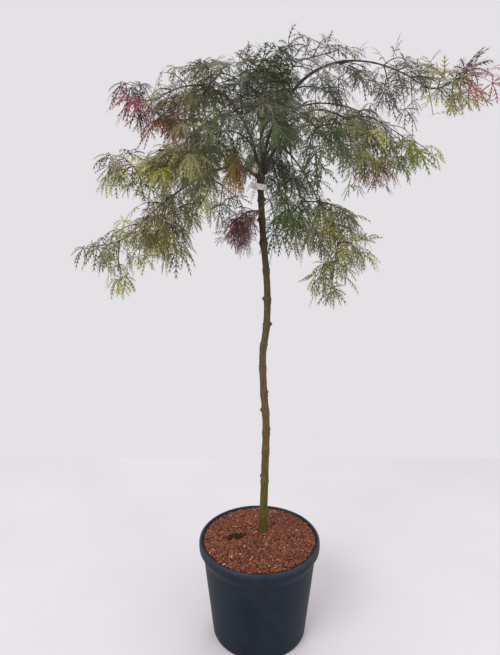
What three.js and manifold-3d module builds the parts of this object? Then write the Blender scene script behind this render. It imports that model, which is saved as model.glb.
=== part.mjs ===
// A grafted, weeping lace-leaf maple on a tall bare stem, in a round plastic nursery pot.
// Millimetres, +Z up. The origin is the middle of the pot's flat underside.
// Bearings are in degrees from +X towards +Y, spreads are measured from the crown's middle,
// and heights from the surface that the pot stands on.
import * as THREE from "three";
import { mergeVertices } from "three/addons/utils/BufferGeometryUtils.js";
import Module from "manifold-3d";

const wasm = await Module();
wasm.setup();

// ---------------------------------------------------------------- driving dimensions
const clearance = 0.3; // between neighbouring solids

const pot = {
  height: 240, rimRadius: 140, lipHeight: 20, lipEdge: 4, lipThickness: 7,
  shoulderHeight: 18, shoulderRadius: 130, footRadius: 110, footChamfer: 5, wall: 3, base: 5, sides: 36,
  drains: 6, drainRadius: 7, drainCircle: 78,
};

const soil = {
  edgeBelowRim: 7, crownHeight: 248, flatRadius: 28, sides: 30, fallAway: 1,
  heap: [0.97, 0.8, 0.55, 0.3], // rings of the heap, as shares of the way out to the rim
  hollow: { x: -52, y: -8, width: 46, depth: 24, height: 16, turn: 14 },
};

const stem = {
  x: 8, y: 12, footRadius: 9.2, topRadius: 6, flare: 2.2, flareHeight: 22,
  sides: 7, ringSpacing: 20,
  // Each bend is a height, then how far the stem stands off to +X and +Y there.
  bends: [
    [248.3, 0, 0], [400, 4, 1], [520, 6, 3], [600, 0, 4], [680, -2, 2], [735, 5, -1],
    [800, 7, -3], [860, 4, -3], [920, -2, 0], [1000, -7, 2], [1040, -8, 2], [1088, -4, 0],
  ],
  nodes: [300, 385, 455, 500, 548, 590, 650, 700, 745, 800, 862, 918, 965, 1005],
  nodeSwelling: 1.1, nodeLength: 7, graftHeight: 1046, graftSwelling: 2.6, graftLength: 13,
  stubLength: 5, stubRadius: 3.9, stubTaper: 0.47, stubTurn: 137, stubRise: 0.5, // turn in degrees
};

const head = { x: 0, y: 10 }; // the crown's middle, at the stem's top

const strap = { height: 1032, band: 11, width: 27, depth: 22, thickness: 1, tilt: 9, sides: 9 };

const leaf = {
  length: 60, lengthSpread: 0.25, stalk: 27, footWidth: 0.8, stalkWidth: 2, thickness: 2.6,
  valley: 0.18, droop: 0.36, hang: 0.75, lift: 0.35,
  // Each lobe is an angle from the middle lobe and a length as a share of the middle one.
  lobes: [[-94, 0.64], [-46, 0.9], [0, 1], [46, 0.9], [94, 0.64]],
  shoulder: 150, // the angle where the stalk widens into the blade
  // A leaf's size and how far it turns aside, tried one after another where room is short.
  tries: [[1, 0], [1, 32], [1, -32], [0.8, 0], [0.8, 55], [0.8, -55], [0.6, 0], [0.6, 70], [0.6, -70]],
};

const twig = {
  spineRadius: 2.2, sideRadius: 1.4, tipRadius: 1.2, internode: 44, sideLength: 68, segment: 38,
  lengthSpread: 0.2, reachOut: 0.55, sag: 0.3, lean: 0.55, lift: 0.1, liftSpread: 0.25,
  roll: 0.9, rollSpread: 0.5, // radians
  pairShift: 1.2, // how far the two of a pair stand off the middle between them
  firstNode: 0.65, lastNode: 0.94,
};
const cell = { margin: 1.5, spread: 150, limbGap: 1.2, sections: 6 };
const arch = { riseAt: 0.16, fallAt: 0.6 }; // where an arch's two bends pull, along its run
const shootLift = 0.6;

const tint = {
  deepGreen: 0x3c5536, greyGreen: 0x4f5a4c, plumGrey: 0x54494b, freshGreen: 0x66802f,
  limeGold: 0x8d9440, rust: 0x9c6238, crimson: 0x9a3a44, olive: 0x5f6236,
};

// Each limb: the limb it forks from and how far along, then its tip as bearing, spread and height,
// how far its rise and its fall arch above its ends, and its radius at the root.
// Each spray grows on from that tip to its own end, given in the same way.
const limbs = [
  ["right_high", "stem", 1, [356, 313, 1219], 190, 80, 4.6, "far_right", [356, 388, 1240], "crimson"],
  ["left_high", "stem", 0.99, [183, 198, 1200], 140, 50, 4.4, "far_left_high", [182, 246, 1198], "crimson"],
  ["back", "stem", 0.98, [80, 223, 1264], 185, 40, 4.4, "back_rise", [83, 322, 1214], "greyGreen"],
  ["front", "stem", 0.972, [271, 212, 1142], 110, 50, 4, "front_fall", [271, 292, 1084], "deepGreen"],
  ["right_low", "stem", 0.965, [324, 160, 1160], 70, 30, 4, "right_outer", [331, 236, 1132], "olive"],
  ["left_low", "stem", 0.958, [182, 268, 938], 50, 100, 4.2, "far_left_low", [182, 346, 912], "limeGold"],
  ["right_top", "right_high", 0.22, [334, 84, 1262], 40, 0, 2.6,
    "crown_right", [342, 148, 1276], "plumGrey"],
  ["right_back", "right_high", 0.36, [14, 182, 1270], 20, 10, 2.6,
    "right_shoulder", [14, 252, 1236], "plumGrey"],
  ["right_mid", "right_high", 0.12, [357, 217, 1163], 60, 40, 3,
    "right_tail", [358, 300, 1116], "freshGreen"],
  ["crown", "left_high", 0.35, [226, 66, 1226], 40, 0, 2.6, "crown_left", [216, 118, 1238], "greyGreen"],
  ["left_back", "left_high", 0.5, [164, 168, 1200], 25, 10, 2.6,
    "left_shoulder", [165, 228, 1162], "olive"],
  ["left_rear", "left_high", 0.12, [136, 190, 1120], 35, 45, 3,
    "back_left_fall", [139, 262, 1050], "olive"],
  ["back_right", "back", 0.3, [46, 250, 1230], 60, 40, 3, "back_right_rise", [46, 345, 1185], "deepGreen"],
  ["back_left", "back", 0.4, [122, 215, 1232], 50, 30, 3, "back_left_rise", [128, 315, 1172], "greyGreen"],
  ["back_inner", "back", 0.14, [80, 150, 1112], 20, 40, 2.8, "back_fall", [79, 232, 1058], "deepGreen"],
  ["right_rear", "back", 0.06, [34, 236, 1142], 50, 50, 3,
    "back_right_fall", [32, 322, 1082], "freshGreen"],
  ["right_under", "right_rear", 0.2, [50, 78, 1036], -4, 16, 2.4,
    "right_green", [44, 104, 945], "freshGreen"],
  ["front_right", "front", 0.3, [292, 196, 1138], 45, 40, 2.8,
    "front_right_fall", [294, 280, 1086], "deepGreen"],
  ["front_left", "front", 0.42, [248, 205, 1128], 30, 35, 2.8,
    "front_left_fall", [248, 284, 1082], "greyGreen"],
  ["front_inner", "front", 0.5, [248, 112, 1104], -10, 0, 2.2, "front_amber", [246, 116, 1066], "rust"],
  ["crown_front", "front", 0.2, [272, 66, 1204], 50, 0, 2.6, "crown_middle", [271, 112, 1232], "deepGreen"],
  ["right_hang", "right_low", 0.3, [350, 112, 1012], -4, 60, 3,
    "right_hanging", [353, 166, 908], "limeGold"],
  ["right_front", "right_low", 0.45, [306, 112, 1030], -12, 30, 2.4,
    "right_inner", [316, 146, 942], "greyGreen"],
  ["left_front", "left_low", 0.2, [211, 146, 1092], 30, 20, 2.8,
    "left_green", [204, 208, 1062], "freshGreen"],
  ["left_side", "left_low", 0.42, [183, 214, 1066], 14, 14, 2.2,
    "left_outer", [182, 262, 1056], "limeGold"],
  ["left_inner", "left_low", 0.3, [216, 122, 1036], 0, 20, 2.2, "left_curtain", [210, 146, 982], "olive"],
  ["left_hang", "left_low", 0.66, [176, 196, 996], 0, 18, 2.4, "left_hanging", [178, 224, 930], "olive"],
].map(([name, from, at, tip, rise, fall, radius, spray, end, colour]) => (
  { name, from, at, tip, rise, fall, radius, spray, end, colour }));
const limbTip = 0.42; // radius at a limb's tip as a share of its root's
const limbSegment = 40;
const collarLength = 30; // how far from its root a limb is kept clear of its parent

// Short shoots with no limb of their own: what they grow from and how far along.
const shoots = [
  { name: "right_crimson", from: "right_mid", at: 0.86, end: [6, 238, 1068], colour: "crimson" },
  { name: "stem_crimson", from: "stem", at: 0.875, end: [209, 62, 962], colour: "crimson" },
];

// ---------------------------------------------------------------- helpers
const up = new THREE.Vector3(0, 0, 1);
const radians = THREE.MathUtils.degToRad;
const place = ([bearing, spread, height]) => new THREE.Vector3(
  head.x + spread * Math.cos(radians(bearing)),
  head.y + spread * Math.sin(radians(bearing)),
  height,
);

// A repeatable stream of numbers from 0 to 1.
function randomFrom(seed) {
  let state = (seed * 7919 + 104729) % 2147483647;
  return () => {
    state = (state * 48271) % 2147483647;
    return state / 2147483647;
  };
}

function solidOf(geometry) {
  const bare = geometry.clone();
  bare.deleteAttribute("normal");
  bare.deleteAttribute("uv");
  const merged = mergeVertices(bare, 1e-4);
  return new wasm.Manifold(new wasm.Mesh({
    numProp: 3,
    vertProperties: new Float32Array(merged.attributes.position.array),
    triVerts: new Uint32Array(merged.index.array),
  }));
}

function geometryOf(solid) {
  const mesh = solid.getMesh();
  const geometry = new THREE.BufferGeometry();
  geometry.setAttribute("position", new THREE.BufferAttribute(new Float32Array(mesh.vertProperties), 3));
  geometry.setIndex(new THREE.BufferAttribute(new Uint32Array(mesh.triVerts), 1));
  return geometry;
}

// A surface of revolution about +Z from (radius, height) points.
function turned(profile, sides) {
  const points = profile.map(([r, z]) => new THREE.Vector2(r, z));
  return new THREE.LatheGeometry(points, sides).rotateX(Math.PI / 2);
}

// A closed, tapering, many-sided tube along a curve.
function taperedTube(curve, radiusAt, sides, steps) {
  const frames = curve.computeFrenetFrames(steps);
  const points = [];
  for (let i = 0; i <= steps; i++) {
    const t = i / steps;
    const centre = curve.getPointAt(t);
    for (let j = 0; j < sides; j++) {
      const angle = (j / sides) * 2 * Math.PI;
      const out = frames.normals[i].clone().multiplyScalar(Math.cos(angle))
        .addScaledVector(frames.binormals[i], Math.sin(angle));
      points.push(centre.clone().addScaledVector(out, radiusAt(t)));
    }
  }
  const faces = [];
  for (let i = 0; i < steps; i++) {
    for (let j = 0; j < sides; j++) {
      const a = i * sides + j;
      const b = i * sides + ((j + 1) % sides);
      faces.push(a, b, b + sides, a, b + sides, a + sides);
    }
  }
  const last = steps * sides;
  for (let j = 1; j < sides - 1; j++) {
    faces.push(0, j + 1, j, last, last + j, last + j + 1);
  }
  const geometry = new THREE.BufferGeometry().setFromPoints(points);
  geometry.setIndex(faces);
  return geometry;
}

const union = (solids) => wasm.Manifold.union(solids);

// ---------------------------------------------------------------- pot, soil, stem, strap
function potSolid() {
  const { height: h, rimRadius: r, wall, lipEdge, lipThickness } = pot;
  const lipFoot = h - pot.lipHeight;
  const shoulder = lipFoot - pot.shoulderHeight;
  const shell = solidOf(turned([
    [0, 0], [pot.footRadius - pot.footChamfer, 0], [pot.footRadius, pot.footChamfer],
    [pot.shoulderRadius, shoulder], [r - wall, lipFoot - wall], [r - 0.5, lipFoot], [r, h - lipEdge],
    [r - lipEdge / 2, h], [r - lipThickness + lipEdge / 2, h], [r - lipThickness, h - lipEdge],
    [r - lipThickness - 0.5, lipFoot], [pot.shoulderRadius - wall, shoulder],
    [pot.footRadius - wall, pot.base], [0, pot.base],
  ], pot.sides));
  const drains = Array.from({ length: pot.drains }, (_, i) => {
    const angle = (i / pot.drains) * 2 * Math.PI;
    return solidOf(new THREE.CylinderGeometry(pot.drainRadius, pot.drainRadius, 4 * pot.base, 10)
      .rotateX(Math.PI / 2)
      .translate(pot.drainCircle * Math.cos(angle), pot.drainCircle * Math.sin(angle), 0));
  });
  return shell.subtract(union(drains));
}

// Potting mix heaped from just under the rim to the stem, with one small hollow in it.
function soilSolid() {
  const edge = pot.height - soil.edgeBelowRim;
  const inset = pot.wall + clearance + soil.fallAway;
  const shoulder = pot.height - pot.lipHeight - pot.shoulderHeight;
  const reach = pot.rimRadius - pot.lipThickness - clearance - soil.fallAway;
  const heap = soil.heap.map((share) => (
    [reach * share, edge + (soil.crownHeight - edge) * Math.cos(share * Math.PI / 2)]));
  const floor = pot.base + clearance;
  const mix = solidOf(turned([
    [0, floor], [pot.footRadius - inset, floor], [pot.shoulderRadius - inset, shoulder],
    [reach, edge - pot.lipEdge], ...heap, [soil.flatRadius, soil.crownHeight], [0, soil.crownHeight],
  ], soil.sides));
  const { x, y, width, depth, height, turn } = soil.hollow;
  const scoop = solidOf(new THREE.IcosahedronGeometry(1, 1).scale(width / 2, depth / 2, height)
    .rotateZ(radians(turn)).translate(x, y, soil.crownHeight));
  return mix.subtract(scoop);
}

const stemCurve = new THREE.CatmullRomCurve3(stem.bends.map(
  ([height, dx, dy]) => new THREE.Vector3(stem.x + dx, stem.y + dy, height),
));
const stemFoot = stem.bends[0][0];
const stemTop = stem.bends.at(-1)[0];

// The stem tapers, flares at the soil, and swells at each leaf scar and at the graft.
function stemRadius(height) {
  const share = (height - stemFoot) / (stemTop - stemFoot);
  const bump = (at, size, length) => size * Math.exp(-(((height - at) / length) ** 2));
  return THREE.MathUtils.lerp(stem.footRadius, stem.topRadius, share)
    + stem.flare * Math.exp(-(height - stemFoot) / stem.flareHeight)
    + stem.nodes.reduce((sum, at) => sum + bump(at, stem.nodeSwelling, stem.nodeLength), 0)
    + bump(stem.graftHeight, stem.graftSwelling, stem.graftLength);
}

// The stem's curve at a height, found by halving.
function stemAt(height) {
  let low = 0;
  let high = 1;
  for (let i = 0; i < 30; i++) {
    const middle = (low + high) / 2;
    if (stemCurve.getPointAt(middle).z < height) low = middle;
    else high = middle;
  }
  return stemCurve.getPointAt(low);
}

const stemRadiusAlong = (t) => stemRadius(stemCurve.getPointAt(t).z);

function stemSolid() {
  const steps = Math.round((stemTop - stemFoot) / stem.ringSpacing);
  const shaft = solidOf(taperedTube(stemCurve, stemRadiusAlong, stem.sides, steps));
  // Pruned stubs stand out at the scars, turning round the stem.
  const stubs = stem.nodes.map((height, i) => {
    const centre = stemAt(height);
    const bearing = radians(stem.stubTurn * i);
    const out = new THREE.Vector3(Math.cos(bearing), Math.sin(bearing), stem.stubRise).normalize();
    const tip = centre.clone().addScaledVector(out, stemRadius(height) + stem.stubLength);
    const width = (t) => stem.stubRadius * (1 - stem.stubTaper * t);
    return solidOf(taperedTube(new THREE.LineCurve3(centre, tip), width, 5, 1));
  });
  const ground = solidOf(new THREE.BoxGeometry(80, 80, 40).translate(stem.x, stem.y, stemFoot - 20));
  return union([shaft, ...stubs]).subtract(ground);
}

// A loose plastic strap round the stem under the graft, touching it on its right side.
function strapSolid() {
  const loop = (grow) => new THREE.Shape()
    .absellipse(0, 0, strap.width / 2 + grow, strap.depth / 2 + grow, 0, 2 * Math.PI);
  const outline = loop(0);
  outline.holes.push(loop(-strap.thickness));
  const band = new THREE.ExtrudeGeometry(outline, {
    depth: strap.band, bevelEnabled: false, curveSegments: strap.sides,
  });
  const centre = stemAt(strap.height);
  const leaning = (strap.band / 2) * Math.tan(radians(strap.tilt));
  const top = stemRadius(strap.height + strap.band / 2) - leaning;
  const bottom = stemRadius(strap.height - strap.band / 2) + leaning;
  const slack = strap.width / 2 - strap.thickness - Math.max(top, bottom) - 2 * clearance;
  return solidOf(band.translate(0, 0, -strap.band / 2).rotateY(radians(strap.tilt))
    .translate(centre.x - slack, centre.y, strap.height));
}

// ---------------------------------------------------------------- limbs
// An arch: up and out of its parent, over, and down to its tip.
function archTo(start, tip, rise, fall) {
  const run = tip.clone().sub(start);
  const first = start.clone().addScaledVector(run, arch.riseAt);
  first.z = start.z + rise;
  const second = start.clone().addScaledVector(run, arch.fallAt);
  second.z = tip.z + fall;
  return new THREE.CubicBezierCurve3(start, first, second, tip);
}

const grown = new Map(); // each limb's curve, its radius along it and its solid, a little swollen
function keep(name, curve, radiusAt, sides, steps) {
  const outer = solidOf(taperedTube(curve, (t) => radiusAt(t) + clearance, sides, steps));
  grown.set(name, { curve, radiusAt, sides, steps, outer });
}
keep("stem", stemCurve, stemRadiusAlong, stem.sides, 56);

// The root of what forks here moves out from its parent's middle until it stands clear:
// sideways from a parent that runs on, and straight on from a parent's end.
function rootedOn(parentName, at, radius, curveFrom) {
  const parent = grown.get(parentName);
  const fork = parent.curve.getPointAt(at);
  const along = parent.curve.getTangentAt(at);
  const heading = curveFrom(fork).getTangentAt(0.02);
  const outward = heading.clone();
  if (at < 1) outward.addScaledVector(along, -heading.dot(along)).normalize();
  for (let out = 0; ; out += clearance) {
    const start = fork.clone().addScaledVector(outward, out);
    const collar = new THREE.LineCurve3(start, start.clone().addScaledVector(heading, collarLength));
    if (solidOf(taperedTube(collar, () => radius, 6, 1)).intersect(parent.outer).isEmpty()) {
      return curveFrom(at < 1 ? start : start.addScaledVector(heading, clearance));
    }
  }
}

for (const limb of limbs) {
  const curve = rootedOn(limb.from, limb.at, limb.radius,
    (start) => archTo(start, place(limb.tip), limb.rise, limb.fall));
  const steps = Math.max(3, Math.round(curve.getLength() / limbSegment));
  const sides = limb.from === "stem" ? 5 : 4;
  keep(limb.name, curve, (t) => limb.radius * THREE.MathUtils.lerp(1, limbTip, t), sides, steps);
}

function limbGeometry({ name }, swell = 0) {
  const { curve, radiusAt, sides, steps } = grown.get(name);
  return taperedTube(curve, (t) => radiusAt(t) + swell, sides, steps);
}

// ---------------------------------------------------------------- sprays of twigs and leaves
// A palmate leaf: pointed lobes round a raised middle, with their tips hanging, on a flat stalk
// whose foot is sunk in the twig.
function leafGeometry(root, heading, length) {
  const centre = root.clone().addScaledVector(heading, leaf.stalk * length / leaf.length);
  const axis = heading.clone().addScaledVector(up, -leaf.hang).normalize();
  const normal = up.clone().addScaledVector(heading, leaf.lift);
  normal.addScaledVector(axis, -normal.dot(axis)).normalize();
  const side = new THREE.Vector3().crossVectors(normal, axis);
  const ray = (angle, distance, sink) => centre.clone()
    .addScaledVector(axis, Math.cos(radians(angle)) * distance)
    .addScaledVector(side, Math.sin(radians(angle)) * distance)
    .addScaledVector(normal, -sink);
  const rim = [
    root.clone().addScaledVector(side, -leaf.footWidth / 2),
    ray(-leaf.shoulder, leaf.stalkWidth, leaf.thickness / 2),
  ];
  leaf.lobes.forEach(([angle, share], i) => {
    const reach = length * share;
    rim.push(ray(angle, reach, leaf.droop * reach * share));
    const next = leaf.lobes[i + 1];
    if (next) rim.push(ray((angle + next[0]) / 2, leaf.valley * length, leaf.thickness / 2));
  });
  rim.push(
    ray(leaf.shoulder, leaf.stalkWidth, leaf.thickness / 2),
    root.clone().addScaledVector(side, leaf.footWidth / 2),
  );
  const top = rim.length;
  const points = [...rim, ray(0, 0, -leaf.thickness / 2), ray(0, 0, leaf.thickness / 2)];
  const faces = rim.flatMap((_, i) => {
    const next = (i + 1) % rim.length;
    return [top, i, next, top + 1, next, i];
  });
  const geometry = new THREE.BufferGeometry().setFromPoints(points);
  geometry.setIndex(faces);
  return geometry;
}

// A spray's spine leaves in line with what carries it and hangs over to its own end.
function spineFrom(start, heading, end) {
  const bend = start.clone().addScaledVector(heading, 0.4 * start.distanceTo(end));
  return new THREE.QuadraticBezierCurve3(start, bend, end);
}

const sprays = limbs.map((limb) => {
  const { curve, radiusAt } = grown.get(limb.name);
  const heading = curve.getTangentAt(1);
  const start = curve.getPointAt(1).addScaledVector(heading, clearance);
  const radius = Math.min(radiusAt(1), twig.spineRadius);
  return { name: limb.spray, colour: limb.colour, radius, curve: spineFrom(start, heading, place(limb.end)) };
});
for (const shoot of shoots) {
  const end = place(shoot.end);
  const curve = rootedOn(shoot.from, shoot.at, twig.sideRadius, (start) => {
    const heading = end.clone().sub(start).normalize().addScaledVector(up, shootLift).normalize();
    return spineFrom(start, heading, end);
  });
  sprays.push({ name: shoot.name, colour: shoot.colour, radius: twig.sideRadius, curve });
}
sprays.forEach((spray) => {
  spray.line = spray.curve.getPoints(cell.sections);
});

function distanceToLine(point, line) {
  let nearest = Infinity;
  const closest = new THREE.Vector3();
  for (let i = 1; i < line.length; i++) {
    new THREE.Line3(line[i - 1], line[i]).closestPointToPoint(point, true, closest);
    nearest = Math.min(nearest, closest.distanceTo(point));
  }
  return nearest;
}

// A spray's space is what lies nearer to its own spine than to any other.
function inSpace(spray, points) {
  return points.every((point) => {
    const own = distanceToLine(point, spray.line);
    return own < cell.spread && sprays.every((other) => (
      other === spray || distanceToLine(point, other.line) > own + cell.margin));
  });
}

const timber = union([
  ...limbs.map((limb) => solidOf(limbGeometry(limb, cell.limbGap))),
  solidOf(taperedTube(stemCurve, (t) => stemRadiusAlong(t) + cell.limbGap, 8, 40)),
]);

function cornersOf(geometry) {
  const corners = geometry.getAttribute("position");
  return Array.from({ length: corners.count }, (_, i) => (
    new THREE.Vector3().fromBufferAttribute(corners, i)));
}

function fits(spray, geometry) {
  return inSpace(spray, cornersOf(geometry)) && solidOf(geometry).intersect(timber).isEmpty();
}

const standsApart = (solid, others) => others.every((other) => solid.intersect(other).isEmpty());

// Two headings across a twig, one to each side, leaning on along it.
function pairAcross(along, roll, random) {
  const level = new THREE.Vector3().crossVectors(along, up).normalize().applyAxisAngle(along, roll);
  return [-1, 1].map((hand) => level.clone().multiplyScalar(hand)
    .addScaledVector(along, twig.lean)
    .addScaledVector(up, twig.lift + (random() - 0.5) * 2 * twig.liftSpread)
    .normalize());
}

function sideTwig(root, heading, reach) {
  const bend = root.clone().addScaledVector(heading, reach * twig.reachOut);
  const tip = root.clone().addScaledVector(heading, reach).addScaledVector(up, -twig.sag * reach);
  return new THREE.QuadraticBezierCurve3(root, bend, tip);
}

// The straight runs between a twig's rings, which is where the middle of its solid lies.
function middleOf(curve, steps) {
  const middle = new THREE.CurvePath();
  const line = curve.getSpacedPoints(steps);
  for (let i = 1; i <= steps; i++) middle.add(new THREE.LineCurve3(line[i - 1], line[i]));
  return middle;
}

// Leaves stand in opposite pairs, each pair turned from the last, with one at the end. Every
// other pair on the spine is side twigs instead. Each twig draws from a stream of its own.
function sprayGeometry(spray, sprayNumber) {
  const twigs = [];
  const blades = [];

  const addLeaf = (root, heading, random) => {
    const length = leaf.length * (0.9 + leaf.lengthSpread * random());
    for (const [size, turn] of leaf.tries) {
      const turned = heading.clone().applyAxisAngle(up, radians(turn));
      const geometry = leafGeometry(root, turned, length * size);
      const blade = solidOf(geometry);
      if (fits(spray, geometry) && standsApart(blade, blades)) {
        blades.push(blade);
        return;
      }
    }
  };

  const growTwig = (curve, radius, isSpine, seed) => {
    const random = randomFrom(seed);
    const length = curve.getLength();
    const steps = Math.max(2, Math.round(length / twig.segment));
    const middle = middleOf(curve, steps);
    const tube = taperedTube(curve, (t) => THREE.MathUtils.lerp(radius, twig.tipRadius, t), 3, steps);
    if (!isSpine && !fits(spray, tube)) return false;
    twigs.push(solidOf(tube));
    const nodes = Math.max(1, Math.round(length / twig.internode));
    for (let k = 0; k < nodes; k++) {
      const t = Math.min((k + twig.firstNode) / nodes, twig.lastNode);
      const roll = ((k + 1) % 2) * twig.roll + (random() - 0.5) * 2 * twig.rollSpread;
      const headings = pairAcross(curve.getTangentAt(t), roll, random);
      headings.forEach((heading, hand) => {
        const root = middle.getPointAt(t + (hand - 0.5) * 2 * twig.pairShift / length);
        const reach = twig.sideLength * (1 + (random() - 0.5) * 2 * twig.lengthSpread);
        const forks = isSpine && k % 2 === 0;
        const side = sideTwig(root, heading, reach);
        const forked = forks && growTwig(side, twig.sideRadius, false, seed * 10 + 2 * k + hand);
        if (!forked) addLeaf(root, heading, random);
      });
    }
    addLeaf(middle.getPointAt(0.985), curve.getTangentAt(1), random);
    return true;
  };

  growTwig(spray.curve, spray.radius, true, sprayNumber);
  return geometryOf(union([...twigs, ...blades]));
}

// ---------------------------------------------------------------- the plant
const finish = {
  pot: { color: 0x34424f, roughness: 0.55 },
  soil: { color: 0x7a4630, roughness: 0.95 },
  bark: { color: 0x5f5a34, roughness: 0.8 },
  limb: { color: 0x4a4233, roughness: 0.8 },
  strap: { color: 0xd8d6d0, roughness: 0.5 },
};
const maple = new THREE.Group();

// Each piece is placed by its own root, so that its geometry is measured from there.
function addPiece(name, geometry, root, look) {
  const material = new THREE.MeshStandardMaterial({ metalness: 0, ...look });
  const mesh = new THREE.Mesh(geometry.translate(-root.x, -root.y, -root.z), material);
  mesh.name = name;
  mesh.position.copy(root);
  maple.add(mesh);
}

const origin = new THREE.Vector3();
addPiece("pot", geometryOf(potSolid()), origin, finish.pot);
addPiece("potting_mix", geometryOf(soilSolid()), origin, finish.soil);
addPiece("stem", geometryOf(stemSolid()), stemCurve.getPointAt(0), finish.bark);
addPiece("strap", geometryOf(strapSolid()), stemAt(strap.height), finish.strap);
for (const limb of limbs) {
  addPiece(`bough_${limb.name}`, limbGeometry(limb), grown.get(limb.name).curve.v0, finish.limb);
}
sprays.forEach((spray, i) => {
  addPiece(`foliage_${spray.name}`, sprayGeometry(spray, i + 1), spray.curve.v0,
    { color: tint[spray.colour], roughness: 0.7 });
});

export default maple;
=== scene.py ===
import math
import bpy
import numpy as np
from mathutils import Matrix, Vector, geometry, noise


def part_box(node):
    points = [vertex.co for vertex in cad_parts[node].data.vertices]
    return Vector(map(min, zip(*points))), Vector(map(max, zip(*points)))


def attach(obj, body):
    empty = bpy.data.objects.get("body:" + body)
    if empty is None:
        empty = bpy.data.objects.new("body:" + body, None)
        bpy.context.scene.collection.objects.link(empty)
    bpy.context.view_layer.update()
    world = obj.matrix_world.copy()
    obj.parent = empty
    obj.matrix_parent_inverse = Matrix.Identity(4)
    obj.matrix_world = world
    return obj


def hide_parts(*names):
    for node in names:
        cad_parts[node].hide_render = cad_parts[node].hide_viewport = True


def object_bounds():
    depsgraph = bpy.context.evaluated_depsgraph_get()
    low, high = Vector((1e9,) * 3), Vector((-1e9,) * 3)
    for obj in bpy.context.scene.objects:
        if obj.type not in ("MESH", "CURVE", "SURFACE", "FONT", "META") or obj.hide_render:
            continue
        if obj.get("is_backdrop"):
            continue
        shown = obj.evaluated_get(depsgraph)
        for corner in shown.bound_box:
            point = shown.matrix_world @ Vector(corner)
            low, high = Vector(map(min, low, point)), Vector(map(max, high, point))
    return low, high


# A grafted weeping maple in a nursery pot: bark, twigs, cut leaves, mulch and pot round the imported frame.
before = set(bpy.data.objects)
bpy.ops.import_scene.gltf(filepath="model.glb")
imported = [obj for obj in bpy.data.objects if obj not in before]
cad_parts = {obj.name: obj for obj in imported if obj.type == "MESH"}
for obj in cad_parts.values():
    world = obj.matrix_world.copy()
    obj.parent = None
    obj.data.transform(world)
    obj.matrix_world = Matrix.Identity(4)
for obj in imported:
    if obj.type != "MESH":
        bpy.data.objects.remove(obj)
cadLow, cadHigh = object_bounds()
print("frame loaded,", len(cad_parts), "nodes")

mm = 0.001  # the sizes below are in millimetres, like the part's own, and the meshes are in metres
up = np.array([0.0, 0.0, 1.0])


def unit(v):
    return v / np.linalg.norm(v, axis=-1, keepdims=True)


def cross(a, b):
    return np.array([a[1] * b[2] - a[2] * b[1], a[2] * b[0] - a[0] * b[2], a[0] * b[1] - a[1] * b[0]])


def turned(v, axis, angle):  # v turned about an axis, in radians
    return (v * math.cos(angle) + cross(axis, v) * math.sin(angle)
            + axis * np.dot(axis, v) * (1 - math.cos(angle)))


def linear(hexColour):  # an sRGB hex value as the linear colour that a shader takes
    parts = [int(hexColour[i:i + 2], 16) / 255 for i in (0, 2, 4)]
    return [c / 12.92 if c <= 0.04045 else ((c + 0.055) / 1.055) ** 2.4 for c in parts] + [1.0]


def randomFrom(seed):  # a repeatable stream of numbers from 0 to 1
    state = (seed * 7919 + 104729) % 2147483647

    def draw():
        nonlocal state
        state = state * 48271 % 2147483647
        return state / 2147483647
    return draw


pathSteps = 200  # every path is kept as points evenly spaced along it


def walked(points):
    along = np.concatenate([[0], np.cumsum(np.linalg.norm(np.diff(points, axis=0), axis=1))])
    even = np.linspace(0, along[-1], pathSteps + 1)
    return np.stack([np.interp(even, along, points[:, i]) for i in range(3)], axis=1)


def bezier(*corners):
    t = np.linspace(0, 1, 2 * pathSteps + 1)[:, None]
    n = len(corners) - 1
    return walked(sum(math.comb(n, i) * (1 - t) ** (n - i) * t ** i * c for i, c in enumerate(corners)))


def threaded(points):  # a smooth line through points, by centripetal Catmull-Rom
    ends = [2 * points[0] - points[1], *points, 2 * points[-1] - points[-2]]
    t = np.linspace(0, 1, 40)[:, None]
    runs = []
    for a, b, c, d in zip(ends, ends[1:], ends[2:], ends[3:]):
        ab, bc, cd = (math.sqrt(np.linalg.norm(q - p)) for p, q in ((a, b), (b, c), (c, d)))
        leave = ((b - a) / ab - (c - a) / (ab + bc) + (c - b) / bc) * bc
        arrive = ((c - b) / bc - (d - b) / (bc + cd) + (d - c) / cd) * bc
        runs.append(b + leave * t + (3 * (c - b) - 2 * leave - arrive) * t ** 2
                    + (2 * (b - c) + leave + arrive) * t ** 3)
    return walked(np.concatenate(runs))


def lengthOf(path):
    return np.linalg.norm(np.diff(path, axis=0), axis=1).sum()


def pointOn(path, t):
    i = min(int(t * pathSteps), pathSteps - 1)
    share = t * pathSteps - i
    return path[i] * (1 - share) + path[i + 1] * share


def tangentOn(path, t):
    i = min(int(t * pathSteps), pathSteps - 1)
    return unit(path[i + 1] - path[i])


def makePiece(name, parts, looks, nodes, sharpAngle=None):
    # Each part is its points in mm, its faces as lists of corners, and which of the looks it wears.
    points, faces, wears = [], [], []
    for corners, sides, look in parts:
        first = len(points)
        points.extend((corners * mm).tolist())
        for group in sides:
            faces.extend((group + first).tolist())
            wears.extend([look] * len(group) if np.isscalar(look) else look)
    mesh = bpy.data.meshes.new(name)
    mesh.from_pydata(points, [], faces)
    for look in looks:
        mesh.materials.append(look)
    mesh.polygons.foreach_set("material_index", wears)
    mesh.shade_smooth()
    if sharpAngle:
        mesh.set_sharp_from_angle(angle=math.radians(sharpAngle))
    piece = bpy.data.objects.new(name, mesh)
    bpy.context.scene.collection.objects.link(piece)
    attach(piece, "root")
    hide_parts(*nodes)
    print(name, len(points), "points", len(faces), "faces")


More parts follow.
